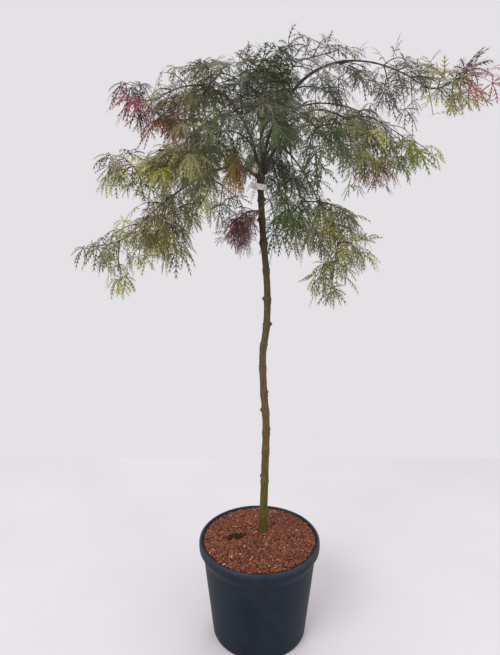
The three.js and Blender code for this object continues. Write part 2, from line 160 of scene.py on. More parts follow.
def ringFaces(rings, sides, closed=True):  # quads between rings of points
    i, j = np.meshgrid(np.arange(rings - 1), np.arange(sides if closed else sides - 1), indexing="ij")
    a, b = i * sides + j, i * sides + (j + 1) % sides
    return np.stack([a, b, b + sides, a + sides], axis=-1).reshape(-1, 4)


def tubePart(path, radiusAt, sides, spacing, relief=None, look=0):
    # A closed tube along a path. radiusAt takes shares of the way along, relief adds to each point.
    steps = max(3, round(lengthOf(path) / spacing))
    t = np.linspace(0, 1, steps + 1)
    centres = np.array([pointOn(path, share) for share in t])
    ahead = unit(np.gradient(centres, axis=0))
    out = cross(ahead[0], up if abs(ahead[0][2]) < 0.9 else np.array([1.0, 0.0, 0.0]))
    frames = []
    for tangent in ahead:  # carried along without twisting
        out = unit(out - tangent * np.dot(out, tangent))
        frames.append((out, cross(tangent, out)))
    angles = np.arange(sides) / sides * 2 * math.pi
    outward = np.array([[math.cos(a) * n + math.sin(a) * b for a in angles] for n, b in frames])
    radii = np.repeat(radiusAt(t)[:, None], sides, axis=1)
    if relief:
        radii = radii + relief(centres, outward, radii)
    points = (centres[:, None] + outward * radii[..., None]).reshape(-1, 3)
    caps = np.array([np.arange(sides)[::-1], np.arange(sides) + steps * sides])
    return points, [ringFaces(steps + 1, sides), caps], look


def lathedPart(profile, sides):  # a ring-shaped surface turned about Z from (radius, height)
    angles = np.arange(sides) / sides * 2 * math.pi
    points = np.array([[r * math.cos(a), r * math.sin(a), z] for r, z in profile for a in angles])
    return points, [ringFaces(len(profile), sides)], 0


def addNode(tree, kind, settings=None, links=None, into=None):
    # Its settings by name or socket, its inputs' sources, and the socket that its first output feeds.
    node = tree.nodes.new(kind)
    for name, value in (settings or {}).items():
        if name == "stops":  # a ramp's places and hex colours, from low to high
            ramp = node.color_ramp.elements
            for i, (place, hexColour) in enumerate(value):
                stop = ramp[i] if i < 2 else ramp.new(place)
                stop.position = place
                stop.color = linear(hexColour)
        elif isinstance(name, str) and name in node.bl_rna.properties:
            setattr(node, name, value)
        else:
            node.inputs[name].default_value = value
    for name, socket in (links or {}).items():
        tree.links.new(socket, node.inputs[name])
    if into:
        tree.links.new(node.outputs[0], into)
    return node


def startMaterial(name, settings):  # a material with its shader set, and its own coordinates in metres
    material = bpy.data.materials.new(name)
    material.use_nodes = True
    tree = material.node_tree
    shader = tree.nodes["Principled BSDF"]
    for socket, value in settings.items():
        shader.inputs[socket].default_value = value
    place = addNode(tree, "ShaderNodeTexCoord").outputs["Object"]
    return material, tree, shader, place


def perMetre(millimetres):  # a noise scale whose features are this many millimetres across
    return 1000 / millimetres


# Polypropylene, injection moulded and matt: slate blue with a film of dust, and a painted highlight along the
# lip.
potLook = {
    "tints": [(0.3, "0e151f"), (0.63, "1b2733"), (0.95, "34424f")],  # clean, dusty, and the lip's painted highlight
    "patch": 46, "speck": 3, "speckle": 0.35, "contrast": 0.66, "roughness": (0.4, 0.64),
    "lipFoot": 222, "lipTop": 238, "lipHighlight": 0.34,  # the lip is painted lighter where its top catches the light: a painted highlight
    "grain": 1.2, "grainDepth": 0.4,  # the mould's spark-eroded grain, drawn ten times coarser to show
}


def polypropylene():
    material, tree, shader, place = startMaterial("mouldedPolypropylene",
                                                  {"IOR": 1.49, "Specular IOR Level": 0.17})
    patches = addNode(tree, "ShaderNodeTexNoise", {
        "Scale": perMetre(potLook["patch"]), "Detail": 5.0, "Roughness": 0.6}, {"Vector": place})
    specks = addNode(tree, "ShaderNodeTexNoise", {
        "Scale": perMetre(potLook["speck"]), "Detail": 3.0}, {"Vector": place})
    mixed = addNode(tree, "ShaderNodeMath", {"operation": "MULTIPLY_ADD", 1: potLook["speckle"]},
                    {0: specks.outputs["Fac"], 2: patches.outputs["Fac"]})
    height = addNode(tree, "ShaderNodeSeparateXYZ", links={"Vector": place})
    # Painted highlight: between these heights the lip is drawn lighter, as if it caught the light.
    paintedLipHighlight = addNode(tree, "ShaderNodeMapRange", {
        "From Min": potLook["lipFoot"] * mm, "From Max": potLook["lipTop"] * mm,
        "To Max": potLook["lipHighlight"]}, {"Value": height.outputs["Z"]})
    shade = addNode(tree, "ShaderNodeMath", {"operation": "MULTIPLY_ADD", 1: potLook["contrast"]},
                    {0: mixed.outputs[0], 2: paintedLipHighlight.outputs["Result"]})
    addNode(tree, "ShaderNodeValToRGB", {"stops": potLook["tints"]}, {"Fac": shade.outputs[0]},
            into=shader.inputs["Base Color"])
    smoothest, roughest = potLook["roughness"]
    addNode(tree, "ShaderNodeMapRange", {"To Min": smoothest, "To Max": roughest},
            {"Value": patches.outputs["Fac"]}, into=shader.inputs["Roughness"])
    grain = addNode(tree, "ShaderNodeTexNoise", {
        "Scale": perMetre(potLook["grain"]), "Detail": 2.0}, {"Vector": place})
    addNode(tree, "ShaderNodeBump", {"Strength": 0.25, "Distance": potLook["grainDepth"] * mm},
            {"Height": grain.outputs["Fac"]}, into=shader.inputs["Normal"])
    return material


# Composted pine bark, hammer-milled and screened: red-brown flakes, some pale, some dark. The last tint
# is the moss on a few of them.
chipLook = {"tints": ["7a432c", "6c3926", "8c583e", "582e1e", "b8947a", "4a4424"],
            "fibre": 1.0, "fibreDepth": 0.5}


def pineBark(name, hexColour):
    material, tree, shader, place = startMaterial(name, {
        "Base Color": linear(hexColour), "IOR": 1.5, "Roughness": 0.9})
    fibre = addNode(tree, "ShaderNodeTexNoise", {
        "Scale": perMetre(chipLook["fibre"]), "Detail": 3.0, "Distortion": 0.6}, {"Vector": place})
    addNode(tree, "ShaderNodeBump", {"Strength": 0.6, "Distance": chipLook["fibreDepth"] * mm},
            {"Height": fibre.outputs["Fac"]}, into=shader.inputs["Normal"])
    return material


# Milled peat under the chips: dark, crumbly and damp.
peatLook = {"tints": [(0.1, "1a0c07"), (0.9, "52301f")], "crumb": 3.5, "crumbDepth": 1.5}


def milledPeat():
    material, tree, shader, place = startMaterial("milledPeat", {"IOR": 1.45, "Roughness": 0.95})
    crumbs = addNode(tree, "ShaderNodeTexVoronoi", {"Scale": perMetre(peatLook["crumb"])},
                     {"Vector": place})
    addNode(tree, "ShaderNodeValToRGB", {"stops": peatLook["tints"]},
            {"Fac": crumbs.outputs["Distance"]}, into=shader.inputs["Base Color"])
    addNode(tree, "ShaderNodeBump", {"Strength": 0.8, "Distance": peatLook["crumbDepth"] * mm},
            {"Height": crumbs.outputs["Distance"]}, into=shader.inputs["Normal"])
    return material


# Young maple bark, smooth and waxy: green at the foot, brown and mottled higher up, finely streaked.
barkLook = {
    "stem": [(0.24, "5f5212"), (0.34, "704630"), (0.46, "64502a"), (0.64, "584a20"), (0.84, "4f3a24"),
             (1.0, "3a2c1a")],  # from the foot up: green, worn, olive, mossy, brown and dark
    "boughs": [(0.0, "4e4228"), (0.45, "43362a"), (0.8, "2f261f"), (1.0, "3a3029")],
    "foot": 250, "top": 1090,  # the heights between which the tints run
    "stemBlotch": 26, "boughBlotch": 18, "mottling": 0.9,
    "streak": 3, "streakTints": [(0.3, "868686"), (0.75, "ffffff")], "streaking": 0.8,
    "stretch": 0.12,  # streaks run up the stem, so their pattern is drawn out along Z
    "lenticel": 2.2, "raise": 0.8, "relief": 0.6,  # a lenticel is a raised corky dot
}


def youngBark(name, tints, blotch):
    material, tree, shader, place = startMaterial(name, {"IOR": 1.45, "Roughness": 0.62})
    height = addNode(tree, "ShaderNodeSeparateXYZ", links={"Vector": place})
    share = addNode(tree, "ShaderNodeMapRange", {
        "From Min": barkLook["foot"] * mm, "From Max": barkLook["top"] * mm},
        {"Value": height.outputs["Z"]})
    blotches = addNode(tree, "ShaderNodeTexNoise", {
        "Scale": perMetre(blotch), "Detail": 6.0, "Roughness": 0.65}, {"Vector": place})
    spread = addNode(tree, "ShaderNodeMath", {
        "operation": "MULTIPLY_ADD", 1: barkLook["mottling"], 2: -barkLook["mottling"] / 2},
        {0: blotches.outputs["Fac"]})
    where = addNode(tree, "ShaderNodeMath", {"operation": "ADD"},
                    {0: share.outputs["Result"], 1: spread.outputs[0]})
    colour = addNode(tree, "ShaderNodeValToRGB", {"stops": tints}, {"Fac": where.outputs[0]})
    tall = addNode(tree, "ShaderNodeMapping", {"Scale": (1.0, 1.0, barkLook["stretch"])},
                   {"Vector": place})
    streaks = addNode(tree, "ShaderNodeTexNoise", {
        "Scale": perMetre(barkLook["streak"]), "Detail": 4.0}, {"Vector": tall.outputs["Vector"]})
    shade = addNode(tree, "ShaderNodeValToRGB", {"stops": barkLook["streakTints"]},
                    {"Fac": streaks.outputs["Fac"]})
    streaked = addNode(tree, "ShaderNodeMix", {
        "data_type": "RGBA", "blend_type": "MULTIPLY", "Factor": barkLook["streaking"]},
        {6: colour.outputs["Color"], 7: shade.outputs["Color"]})
    tree.links.new(streaked.outputs[2], shader.inputs["Base Color"])
    dots = addNode(tree, "ShaderNodeTexVoronoi", {"Scale": perMetre(barkLook["lenticel"] * 2)},
                   {"Vector": place})
    raised = addNode(tree, "ShaderNodeMath", {"operation": "MULTIPLY_ADD", 1: -barkLook["raise"]},
                     {0: dots.outputs["Distance"], 2: streaks.outputs["Fac"]})
    addNode(tree, "ShaderNodeBump", {"Strength": 0.5, "Distance": barkLook["relief"] * mm},
            {"Height": raised.outputs[0]}, into=shader.inputs["Normal"])
    return material


# A soft vinyl nursery label, die-cut and blank: off-white, a little glossy, grubby in patches.
labelLook = {"tints": [(0.35, "bdb8ac"), (0.62, "e9e7e2")], "grime": 9, "ripple": 0.5, "roughness": 0.34}


def blankVinyl():
    material, tree, shader, place = startMaterial("blankVinyl", {
        "IOR": 1.52, "Roughness": labelLook["roughness"]})
    grime = addNode(tree, "ShaderNodeTexNoise", {
        "Scale": perMetre(labelLook["grime"]), "Detail": 5.0}, {"Vector": place})
    addNode(tree, "ShaderNodeValToRGB", {"stops": labelLook["tints"]}, {"Fac": grime.outputs["Fac"]},
            into=shader.inputs["Base Color"])
    addNode(tree, "ShaderNodeBump", {"Strength": 0.15, "Distance": labelLook["ripple"] * mm},
            {"Height": grime.outputs["Fac"]}, into=shader.inputs["Normal"])
    return material


# Maple leaf, grown: thin and satin on top, in autumn tints of three shades that are dealt out by twig.
leafTints = {
    "deep_green": ["36411d", "414b23", "2b3518"],
    "grey_green": ["535440", "474936", "62624e"],
    "plum_grey": ["5e4e4a", "4c3f3c", "705d58"],
    "fresh_green": ["516729", "5f762f", "455a23"],
    "lime_gold": ["807e36", "918f3d", "6d6d2e"],
    "rust": ["8a5433", "74432b", "9a6a38"],
    "crimson": ["873641", "692c34", "96505a"],
    "olive": ["66613a", "757045", "555230"],
}
# Veins and puckers are under a millimetre, drawn at 2 mm so that they catch the light.
leafPucker = {"size": 2, "depth": 0.4}


def mapleLeaf(name, hexColour):
    material, tree, shader, place = startMaterial(name, {
        "Base Color": linear(hexColour), "IOR": 1.42, "Roughness": 0.52})
    pucker = addNode(tree, "ShaderNodeTexNoise", {"Scale": perMetre(leafPucker["size"]), "Detail": 2.0},
                     {"Vector": place})
    addNode(tree, "ShaderNodeBump", {"Strength": 0.3, "Distance": leafPucker["depth"] * mm},
            {"Height": pucker.outputs["Fac"]}, into=shader.inputs["Normal"])
    return material


# The plant's frame grows by the same rule as the solids, so that bark and leaves lie on them.
clearance = 0.3  # between a limb or spray and what carries it
stem = {
    "x": 8, "y": 12, "footRadius": 9.2, "topRadius": 6, "flare": 2.2, "flareHeight": 22,
    "bends": [  # a height, and how far the stem's middle stands aside there
        (248.3, 0, 0), (400, 4, 1), (520, 6, 3), (600, 0, 4), (680, -2, 2), (735, 5, -1),
        (800, 7, -3), (860, 4, -3), (920, -2, 0), (1000, -7, 2), (1040, -8, 2), (1088, -4, 0),
    ],
    "nodes": [300, 385, 455, 500, 548, 590, 650, 700, 745, 800, 862, 918, 965, 1005],
    "nodeSwelling": 1.1, "nodeLength": 7, "graftHeight": 1046, "graftSwelling": 2.6, "graftLength": 13,
    "stubTurn": 137, "stubHeight": 4.6, "stubWidth": 3.6, "sides": 44, "spacing": 1.6, "sunk": 12,
    "scar": (0.8, 2.2), "groove": (0.35, 2), "grooveBelow": 4,  # how high or deep, and how long
    "knuckle": (918, 1.6, 8), "fork": (1076, 1.6, 14),  # where, how thick and how long they swell
    "rough": 0.35, "lump": 7,
}
head = (0, 10)  # the crown's middle, in plan
twig = {
    "spineRadius": 2.2, "sideRadius": 1.4, "tipRadius": 0.7, "internode": 44, "sideLength": 68,
    "lengthSpread": 0.2, "reachOut": 0.55, "sag": 0.3, "lean": 0.55, "lift": 0.1, "liftSpread": 0.25,
    "roll": 0.9, "rollSpread": 0.5, "firstNode": 0.65, "lastNode": 0.94, "tipLeaf": 0.985,
    "flare": 0.35, "flareLength": 3,
}
cell = {"margin": 1.5, "spread": 150, "limbGap": 1.2, "sections": 6}  # a spray's own space
# Where a limb rises and falls along its run, its tip's radius as a share of its root's, and how much of
# its root has to stand clear of the parent, over the collar's length.
arch = {"riseAt": 0.16, "fallAt": 0.6, "shootLift": 0.6, "spineLead": 0.4, "tipShare": 0.42,
        "clearShare": 0.88, "collar": 30}

# Each limb: the limb it forks from and how far along, its tip as bearing, spread and height, how far
# it rises and falls, its root's radius, then its spray, that spray's end and its main tint.
limbs = [
    ("right_high", "stem", 1, (356, 313, 1219), 190, 80, 4.6, "far_right", (356, 388, 1240), "crimson"),
    ("left_high", "stem", 0.99, (183, 198, 1200), 140, 50, 4.4,
     "far_left_high", (182, 246, 1198), "crimson"),
    ("back", "stem", 0.98, (80, 223, 1264), 185, 40, 4.4, "back_rise", (83, 322, 1214), "grey_green"),
    ("front", "stem", 0.972, (271, 212, 1142), 110, 50, 4, "front_fall", (271, 292, 1084), "deep_green"),
    ("right_low", "stem", 0.965, (324, 160, 1160), 70, 30, 4, "right_outer", (331, 236, 1132), "olive"),
    ("left_low", "stem", 0.958, (182, 268, 938), 50, 100, 4.2,
     "far_left_low", (182, 346, 912), "lime_gold"),
    ("right_top", "right_high", 0.22, (334, 84, 1262), 40, 0, 2.6,
     "crown_right", (342, 148, 1276), "plum_grey"),
    ("right_back", "right_high", 0.36, (14, 182, 1270), 20, 10, 2.6,
     "right_shoulder", (14, 252, 1236), "plum_grey"),
    ("right_mid", "right_high", 0.12, (357, 217, 1163), 60, 40, 3,
     "right_tail", (358, 300, 1116), "fresh_green"),
    ("crown", "left_high", 0.35, (226, 66, 1226), 40, 0, 2.6,
     "crown_left", (216, 118, 1238), "grey_green"),
    ("left_back", "left_high", 0.5, (164, 168, 1200), 25, 10, 2.6,
     "left_shoulder", (165, 228, 1162), "olive"),
    ("left_rear", "left_high", 0.12, (136, 190, 1120), 35, 45, 3,
     "back_left_fall", (139, 262, 1050), "olive"),
    ("back_right", "back", 0.3, (46, 250, 1230), 60, 40, 3,
     "back_right_rise", (46, 345, 1185), "deep_green"),
    ("back_left", "back", 0.4, (122, 215, 1232), 50, 30, 3,
     "back_left_rise", (128, 315, 1172), "grey_green"),
    ("back_inner", "back", 0.14, (80, 150, 1112), 20, 40, 2.8, "back_fall", (79, 232, 1058), "deep_green"),
    ("right_rear", "back", 0.06, (34, 236, 1142), 50, 50, 3,
     "back_right_fall", (32, 322, 1082), "fresh_green"),
    ("right_under", "right_rear", 0.2, (50, 78, 1036), -4, 16, 2.4,
     "right_green", (44, 104, 945), "fresh_green"),
    ("front_right", "front", 0.3, (292, 196, 1138), 45, 40, 2.8,
     "front_right_fall", (294, 280, 1086), "deep_green"),
    ("front_left", "front", 0.42, (248, 205, 1128), 30, 35, 2.8,
     "front_left_fall", (248, 284, 1082), "grey_green"),
    ("front_inner", "front", 0.5, (248, 112, 1104), -10, 0, 2.2, "front_amber", (246, 116, 1066), "rust"),
    ("crown_front", "front", 0.2, (272, 66, 1204), 50, 0, 2.6,
     "crown_middle", (271, 112, 1232), "deep_green"),
    ("right_hang", "right_low", 0.3, (350, 112, 1012), -4, 60, 3,
     "right_hanging", (353, 166, 908), "lime_gold"),
    ("right_front", "right_low", 0.45, (306, 112, 1030), -12, 30, 2.4,
     "right_inner", (316, 146, 942), "grey_green"),
    ("left_front", "left_low", 0.2, (211, 146, 1092), 30, 20, 2.8,
     "left_green", (204, 208, 1062), "fresh_green"),
    ("left_side", "left_low", 0.42, (183, 214, 1066), 14, 14, 2.2,
     "left_outer", (182, 262, 1056), "lime_gold"),
    ("left_inner", "left_low", 0.3, (216, 122, 1036), 0, 20, 2.2, "left_curtain", (210, 146, 982), "olive"),
    ("left_hang", "left_low", 0.66, (176, 196, 996), 0, 18, 2.4, "left_hanging", (178, 224, 930), "olive"),
]
shoots = [
    ("right_crimson", "right_mid", 0.86, (6, 238, 1068), "crimson"),
    ("stem_crimson", "stem", 0.875, (209, 62, 962), "crimson"),
]


def placed(bearing, spread, height):
    angle = math.radians(bearing)
    return np.array([head[0] + spread * math.cos(angle), head[1] + spread * math.sin(angle), height])


stemPath = threaded([np.array([stem["x"] + dx, stem["y"] + dy, float(h)]) for h, dx, dy in stem["bends"]])
stemFoot, stemTop = stem["bends"][0][0], stem["bends"][-1][0]


def bumpAt(height, at, size, length):
    return size * np.exp(-((height - at) / length) ** 2)


def stemRadius(height):
    share = (height - stemFoot) / (stemTop - stemFoot)
    radius = stem["footRadius"] + (stem["topRadius"] - stem["footRadius"]) * share
    radius = radius + stem["flare"] * np.exp(-(height - stemFoot) / stem["flareHeight"])
    for at in stem["nodes"]:
        radius = radius + bumpAt(height, at, stem["nodeSwelling"], stem["nodeLength"])
    return radius + bumpAt(height, stem["graftHeight"], stem["graftSwelling"], stem["graftLength"])


grown = {"stem": (stemPath, stemRadius(stemPath[:, 2]))}  # each limb's path and its radius along it


def rootedOn(parentName, at, radius, pathFrom):
    # A root moves out from its parent's middle until its first stretch stands clear.
    parent, radii = grown[parentName]
    fork = pointOn(parent, at)
    along = tangentOn(parent, at)
    heading = tangentOn(pathFrom(fork), 0.02)
    outward = unit(heading - along * np.dot(heading, along)) if at < 1 else heading
    out = 0.0
    while True:
        start = fork + outward * out
        collar = start + heading * np.linspace(0, arch["collar"], 11)[:, None]
        gaps = np.linalg.norm(collar[:, None] - parent[None], axis=2) - radii[None]
        if gaps.min() > arch["clearShare"] * radius + clearance:
            return pathFrom(start), fork
        out += clearance


def archTo(start, tip, rise, fall):
    first = start + (tip - start) * arch["riseAt"]
    second = start + (tip - start) * arch["fallAt"]
    first[2], second[2] = start[2] + rise, tip[2] + fall
    return bezier(start, first, second, tip)


def spineFrom(start, heading, end):
    return bezier(start, start + heading * arch["spineLead"] * np.linalg.norm(end - start), end)


forks = {}
sprays = []
for name, parentName, at, tip, rise, fall, radius, sprayName, end, tint in limbs:
    path, forks[name] = rootedOn(parentName, at, radius,
                                 lambda start: archTo(start, placed(*tip), rise, fall))
    radii = radius * (1 + (arch["tipShare"] - 1) * np.linspace(0, 1, pathSteps + 1))
    grown[name] = (path, radii)
    heading = tangentOn(path, 1)
    spine = spineFrom(path[-1] + heading * clearance, heading, placed(*end))
    sprays.append({"name": sprayName, "tint": tint, "radius": min(radii[-1], twig["spineRadius"]),
                   "path": spine})


def shootTo(end):  # a path that sets out upwards and ends there
    return lambda start: spineFrom(start, unit(unit(end - start) + up * arch["shootLift"]), end)


for name, parentName, at, end, tint in shoots:
    spine = rootedOn(parentName, at, twig["sideRadius"], shootTo(placed(*end)))[0]
    sprays.append({"name": name, "tint": tint, "radius": twig["sideRadius"], "path": spine})
print("limbs", len(limbs), "sprays", len(sprays))

# The sprays have the same twigs as the solids, then finer ones, with the leaves at their real number.
leaf = {
    "length": 44, "least": 0.9, "lengthSpread": 0.25, "stalk": 18, "stalkRadius": 0.5, "stalkSag": 0.12,
    "stalkBend": 0.6, "hang": 0.6, "lift": 0.35,
    "lobes": [(-118, 0.46), (-76, 0.72), (-38, 0.92), (0, 1.12), (38, 0.92), (76, 0.72), (118, 0.46)],
    "lobeSpread": 0.4,  # how unequal the lobes' lengths are
    "droop": 1.2, "droopPower": 1.3,  # how far a lobe's tip turns down, and how late along it
    "roll": 0.6,  # how far a leaf may lean to one side, in radians
    "curl": 1.1,  # how far a lobe may bend to one side along its length
    "splay": 0.5,  # how unevenly the lobes are spread, in radians
    "halfWidth": [0.6, 0.85, 0.95, 0.9, 0.75, 0.5],  # of a lobe between its teeth, in mm
    "toothOut": [5.4, 7.4, 6.2, 3.6], "toothOn": [4.4, 6.0, 6.0, 5.0], "toothFoot": 0.6,
    "toothDrop": 0.15, "toothSize": (0.65, 0.6),  # the least, and how much more at the most
    "slimming": 0.3, "toothSlimming": 0.7,  # how much slimmer and less toothed the short lobes are
    # Sizes, turns and extra droops that a leaf tries until it stays in its mass's space.
    "tries": [(1, 0, 0), (1, 32, 0), (1, -32, 0), (0.85, 0, 0.6), (0.8, 55, 0.4), (0.8, -55, 0.4),
              (0.62, 0, 1.2)],
    "slack": 7, "headroom": 3,  # how far a leaf may stand out of its mass's box, and over its top
    "endRoom": 12,  # what a side twig's end needs over it for its last leaf
}
fineGrowth = {
    "internode": 23, "shootSpacing": 38, "shootLength": 50, "fineSeed": 5000, "shootSeed": 9000,
    # Spurs' length and share of the places, on a spray's spine, on its side twigs and on shoots.
    "spurs": [(58, 0.6), (34, 0.4), (26, 0.15)],
    "spurPairs": [(0.5, 0.85), (0.8,), (0.8,)],  # where a spur's pairs of leaves stand along it
    "spurRadius": (0.9, 0.35), "shootRadius": (1.25, 0.5),  # at the root, and the loss to the tip
    "spurSize": (0.75, 0.5), "leafSize": (0.72, 0.3),  # the least, and how much more at the most
    "spurRoll": 1.5, "spurLeaf": 0.9, "shootRoll": 0.9, "shootLeaf": 0.95,
    "firstPair": 0.3, "roll": 1.4, "rollSpread": 0.9, "lowSlack": 4,
    "tipFrom": 0.55,  # how far along a spray its outer tint starts
    "lastShoot": 0.96,  # how far along a limb its last shoot stands
}
# What sets a spray apart: how full it is, as a share of the usual number of fine leaves, how much its
# leaves hang, their size, and the tints that it is dealt.
sprayLooks = {
    "far_right": {"fullness": 0.8, "hang": 0.1, "roll": 1.2, "droop": 0.6, "size": 1.2, "headroom": 28,
                  "footroom": 40, "slack": 12, "tint": "lime_gold", "tipTint": "dusk"},
    "far_left_high": {"fullness": 1.8, "hang": 0.9, "headroom": -58, "size": 1.3, "slack": 10,
                      "tint": "grey_plum", "tipTint": "blush"},
    "far_left_low": {"fullness": 0.5, "hang": 1.1, "headroom": -10, "footroom": 12, "size": 1.15,
                     "tint": "lime_gold", "tipTint": "olive"},
    "stem_crimson": {"fullness": 4.5, "hang": 0.8, "size": 0.62, "tint": "grey_plum", "tipTint": "crimson"},
    "right_crimson": {"fullness": 0.5, "size": 0.75, "hang": 0.3, "footroom": 45, "tint": "olive",
                      "tipTint": "russet"},
    "crown_left": {"fullness": 1.6, "hang": 0.1, "roll": 1.0, "droop": 0.8, "headroom": 4,
                   "tint": "grey_lace"},
    "crown_middle": {"fullness": 2.1, "hang": 0.0, "roll": 1.0, "droop": 0.8, "headroom": 34},
    "crown_right": {"fullness": 0.5, "hang": 0.2, "roll": 1.2, "droop": 0.8, "tint": "grey_lace"},
    "front_amber": {"fullness": 5.0, "size": 0.9, "hang": 1.2, "tint": "amber"},
    "front_fall": {"fullness": 0.5},
    "front_left_fall": {"fullness": 0.6},
    "front_right_fall": {"fullness": 0.4},
    "left_green": {"fullness": 1.1, "tint": "lime_gold"},
    "left_outer": {"fullness": 1.2, "hang": 1.0, "size": 1.15, "tint": "lime_gold", "tipTint": "gold"},
    "left_shoulder": {"fullness": 0.5, "tint": "russet"},
    "left_curtain": {"fullness": 0.5, "tint": "lime_gold"},
    "left_hanging": {"fullness": 1.2, "size": 1.1, "tint": "lime_gold"},
    "right_tail": {"fullness": 1.7, "hang": 0.7, "size": 1.3, "headroom": -40, "footroom": -16,
                   "slack": 14, "tint": "olive", "tipTint": "lime_gold"},
    "right_green": {"fullness": 1.1},
    "right_inner": {"fullness": 0.1, "tint": "grey_green"},
    "right_hanging": {"fullness": 1.1, "size": 1.1, "tint": "gold"},
    "right_shoulder": {"fullness": 0.2, "headroom": -15, "hang": 0.3, "tint": "grey_lace"},
    "right_outer": {"fullness": 0.1},
    "back_rise": {"fullness": 0.4},
    "back_left_rise": {"fullness": 0.4, "tint": "olive", "tipTint": "rust"},
    "back_right_rise": {"fullness": 0.15, "tint": "olive"},
    "back_right_fall": {"fullness": 0.6},
}
spines = np.array([spray["path"][::pathSteps // cell["sections"]][:cell["sections"] + 1]
                   for spray in sprays])
spines[:, -1] = [spray["path"][-1] for spray in sprays]
runStarts, runs = spines[:, :-1], np.diff(spines, axis=1)


def inSpace(number, points):  # nearer to this spray's spine than to any other
    away = points[:, None, None] - runStarts
    t = np.clip((away * runs).sum(-1) / (runs * runs).sum(-1), 0, 1)
    gaps = np.linalg.norm(away - t[..., None] * runs, axis=-1).min(axis=2)
    own = gaps[:, number]
    rest = np.delete(gaps, number, axis=1).min(axis=1)
    return bool(np.all(own < cell["spread"]) and np.all(rest > own + cell["margin"]))


def clearOfLimbs(path, radius):
    points = path[::20]
    for limbPath, radii in grown.values():
        gaps = np.linalg.norm(points[:, None] - limbPath[None, ::4], axis=2) - radii[None, ::4]
        if gaps.min() < radius + cell["limbGap"]:
            return False
    return True


def pairAcross(along, roll, draw):
    level = turned(unit(cross(along, up)), along, roll)
    return [unit(level * hand + along * twig["lean"]
                 + up * (twig["lift"] + (draw() - 0.5) * 2 * twig["liftSpread"])) for hand in (-1, 1)]


def sideTwig(root, heading, reach):
    return bezier(root, root + heading * reach * twig["reachOut"],
                  root + heading * reach - up * twig["sag"] * reach)


stations = len(leaf["halfWidth"])  # along a lobe, with a pair of teeth between most of them
teeth = len(leaf["toothOut"])


def lobeFaces():
    # A lobe's corners: two along its edge at each station, two where each tooth starts, the teeth, the tip.
    feet, points = 2 * stations, 2 * (stations + teeth)
    tip = points + 2 * teeth
    faces = []
    for k in range(stations - 1):
        left, right, nextLeft, nextRight = range(2 * k, 2 * k + 4)
        if k == 0 or k > teeth:  # a plain stretch
            faces += [(left, right, nextRight), (left, nextRight, nextLeft)]
            continue
        footLeft, footRight = range(feet + 2 * k - 2, feet + 2 * k)
        toothLeft, toothRight = range(points + 2 * k - 2, points + 2 * k)
        faces += [(left, right, footRight), (left, footRight, footLeft),
                  (footLeft, footRight, nextRight), (footLeft, nextRight, nextLeft),
                  (footLeft, nextLeft, toothLeft), (footRight, toothRight, nextRight)]
    return np.array(faces + [(feet - 2, feet - 1, tip)]), tip + 1


lobeTriangles, lobeCorners = lobeFaces()
lobeCount = len(leaf["lobes"])
leafTriangles = np.concatenate([lobeTriangles + i * lobeCorners for i in range(lobeCount)])
lobeAngles = np.radians([angle for angle, _ in leaf["lobes"]])
lobeShares = np.array([share for _, share in leaf["lobes"]])


def leafPoints(base, heading, length, home, draw):
    wobble = np.array([[draw() - 0.5 for _ in range(4)] for _ in range(lobeCount)])
    axis = unit(heading - up * home["hang"] * 2 * draw())
    normal = up + heading * leaf["lift"]
    normal = unit(normal - axis * np.dot(normal, axis))
    normal = turned(normal, axis, home["roll"] * 2 * (draw() - 0.5))
    side = cross(normal, axis)
    angles = lobeAngles + wobble[:, 0] * leaf["splay"]
    outward = np.cos(angles)[:, None] * axis + np.sin(angles)[:, None] * side
    aside = side * np.cos(angles)[:, None] - axis * np.sin(angles)[:, None]
    reach = length * lobeShares * (1 + wobble[:, 1] * leaf["lobeSpread"])
    # Each lobe sets out in the leaf's plane and turns down and aside along its length.
    places = (np.arange(stations) + 0.5) / stations
    droop = home["droop"] * (0.5 + draw()) * (1 + wobble[:, 2])
    ways = unit(outward[:, None] - up * (droop[:, None] * places ** leaf["droopPower"])[..., None]
                + aside[:, None] * (leaf["curl"] * wobble[:, 3, None] * places)[..., None])
    middles = np.cumsum(ways * (reach / stations)[:, None, None], axis=1)
    middles = np.concatenate([np.zeros((lobeCount, 1, 3)), middles], axis=1) + base
    across = unit(np.cross(normal, ways))
    size = length / leaf["length"]
    shares = lobeShares[:, None, None]
    half = np.array(leaf["halfWidth"])[None, :, None] * size * shares ** leaf["slimming"]
    toothSize = size * shares ** leaf["toothSlimming"]
    edges = bothSides(middles[:, :-1], across * half)
    toothed, nextOn = slice(1, teeth + 1), slice(2, teeth + 2)
    starts = middles[:, toothed] + (middles[:, nextOn] - middles[:, toothed]) * leaf["toothFoot"]
    feet = bothSides(starts, across[:, toothed] * half[:, toothed])
    uneven = np.array([between(leaf["toothSize"], draw) for _ in range(lobeCount * teeth)])
    uneven = uneven.reshape(lobeCount, teeth, 1)
    out = np.array(leaf["toothOut"])[None, :, None] * toothSize * uneven
    on = np.array(leaf["toothOn"])[None, :, None] * toothSize * uneven
    ends = middles[:, nextOn] + ways[:, nextOn] * on - normal * out * leaf["toothDrop"]
    points = bothSides(ends, across[:, nextOn] * out)
    return np.concatenate([edges, feet, points, middles[:, -1:]], axis=1).reshape(-1, 3)


def bothSides(middles, aside):  # each lobe's points on the left and right of these middles, by turns
    return np.stack([middles + aside, middles - aside], axis=2).reshape(lobeCount, -1, 3)


leafParts = {tint: [] for tint in leafTints}
leafHomes = {tint: set() for tint in leafTints}
twigParts = []

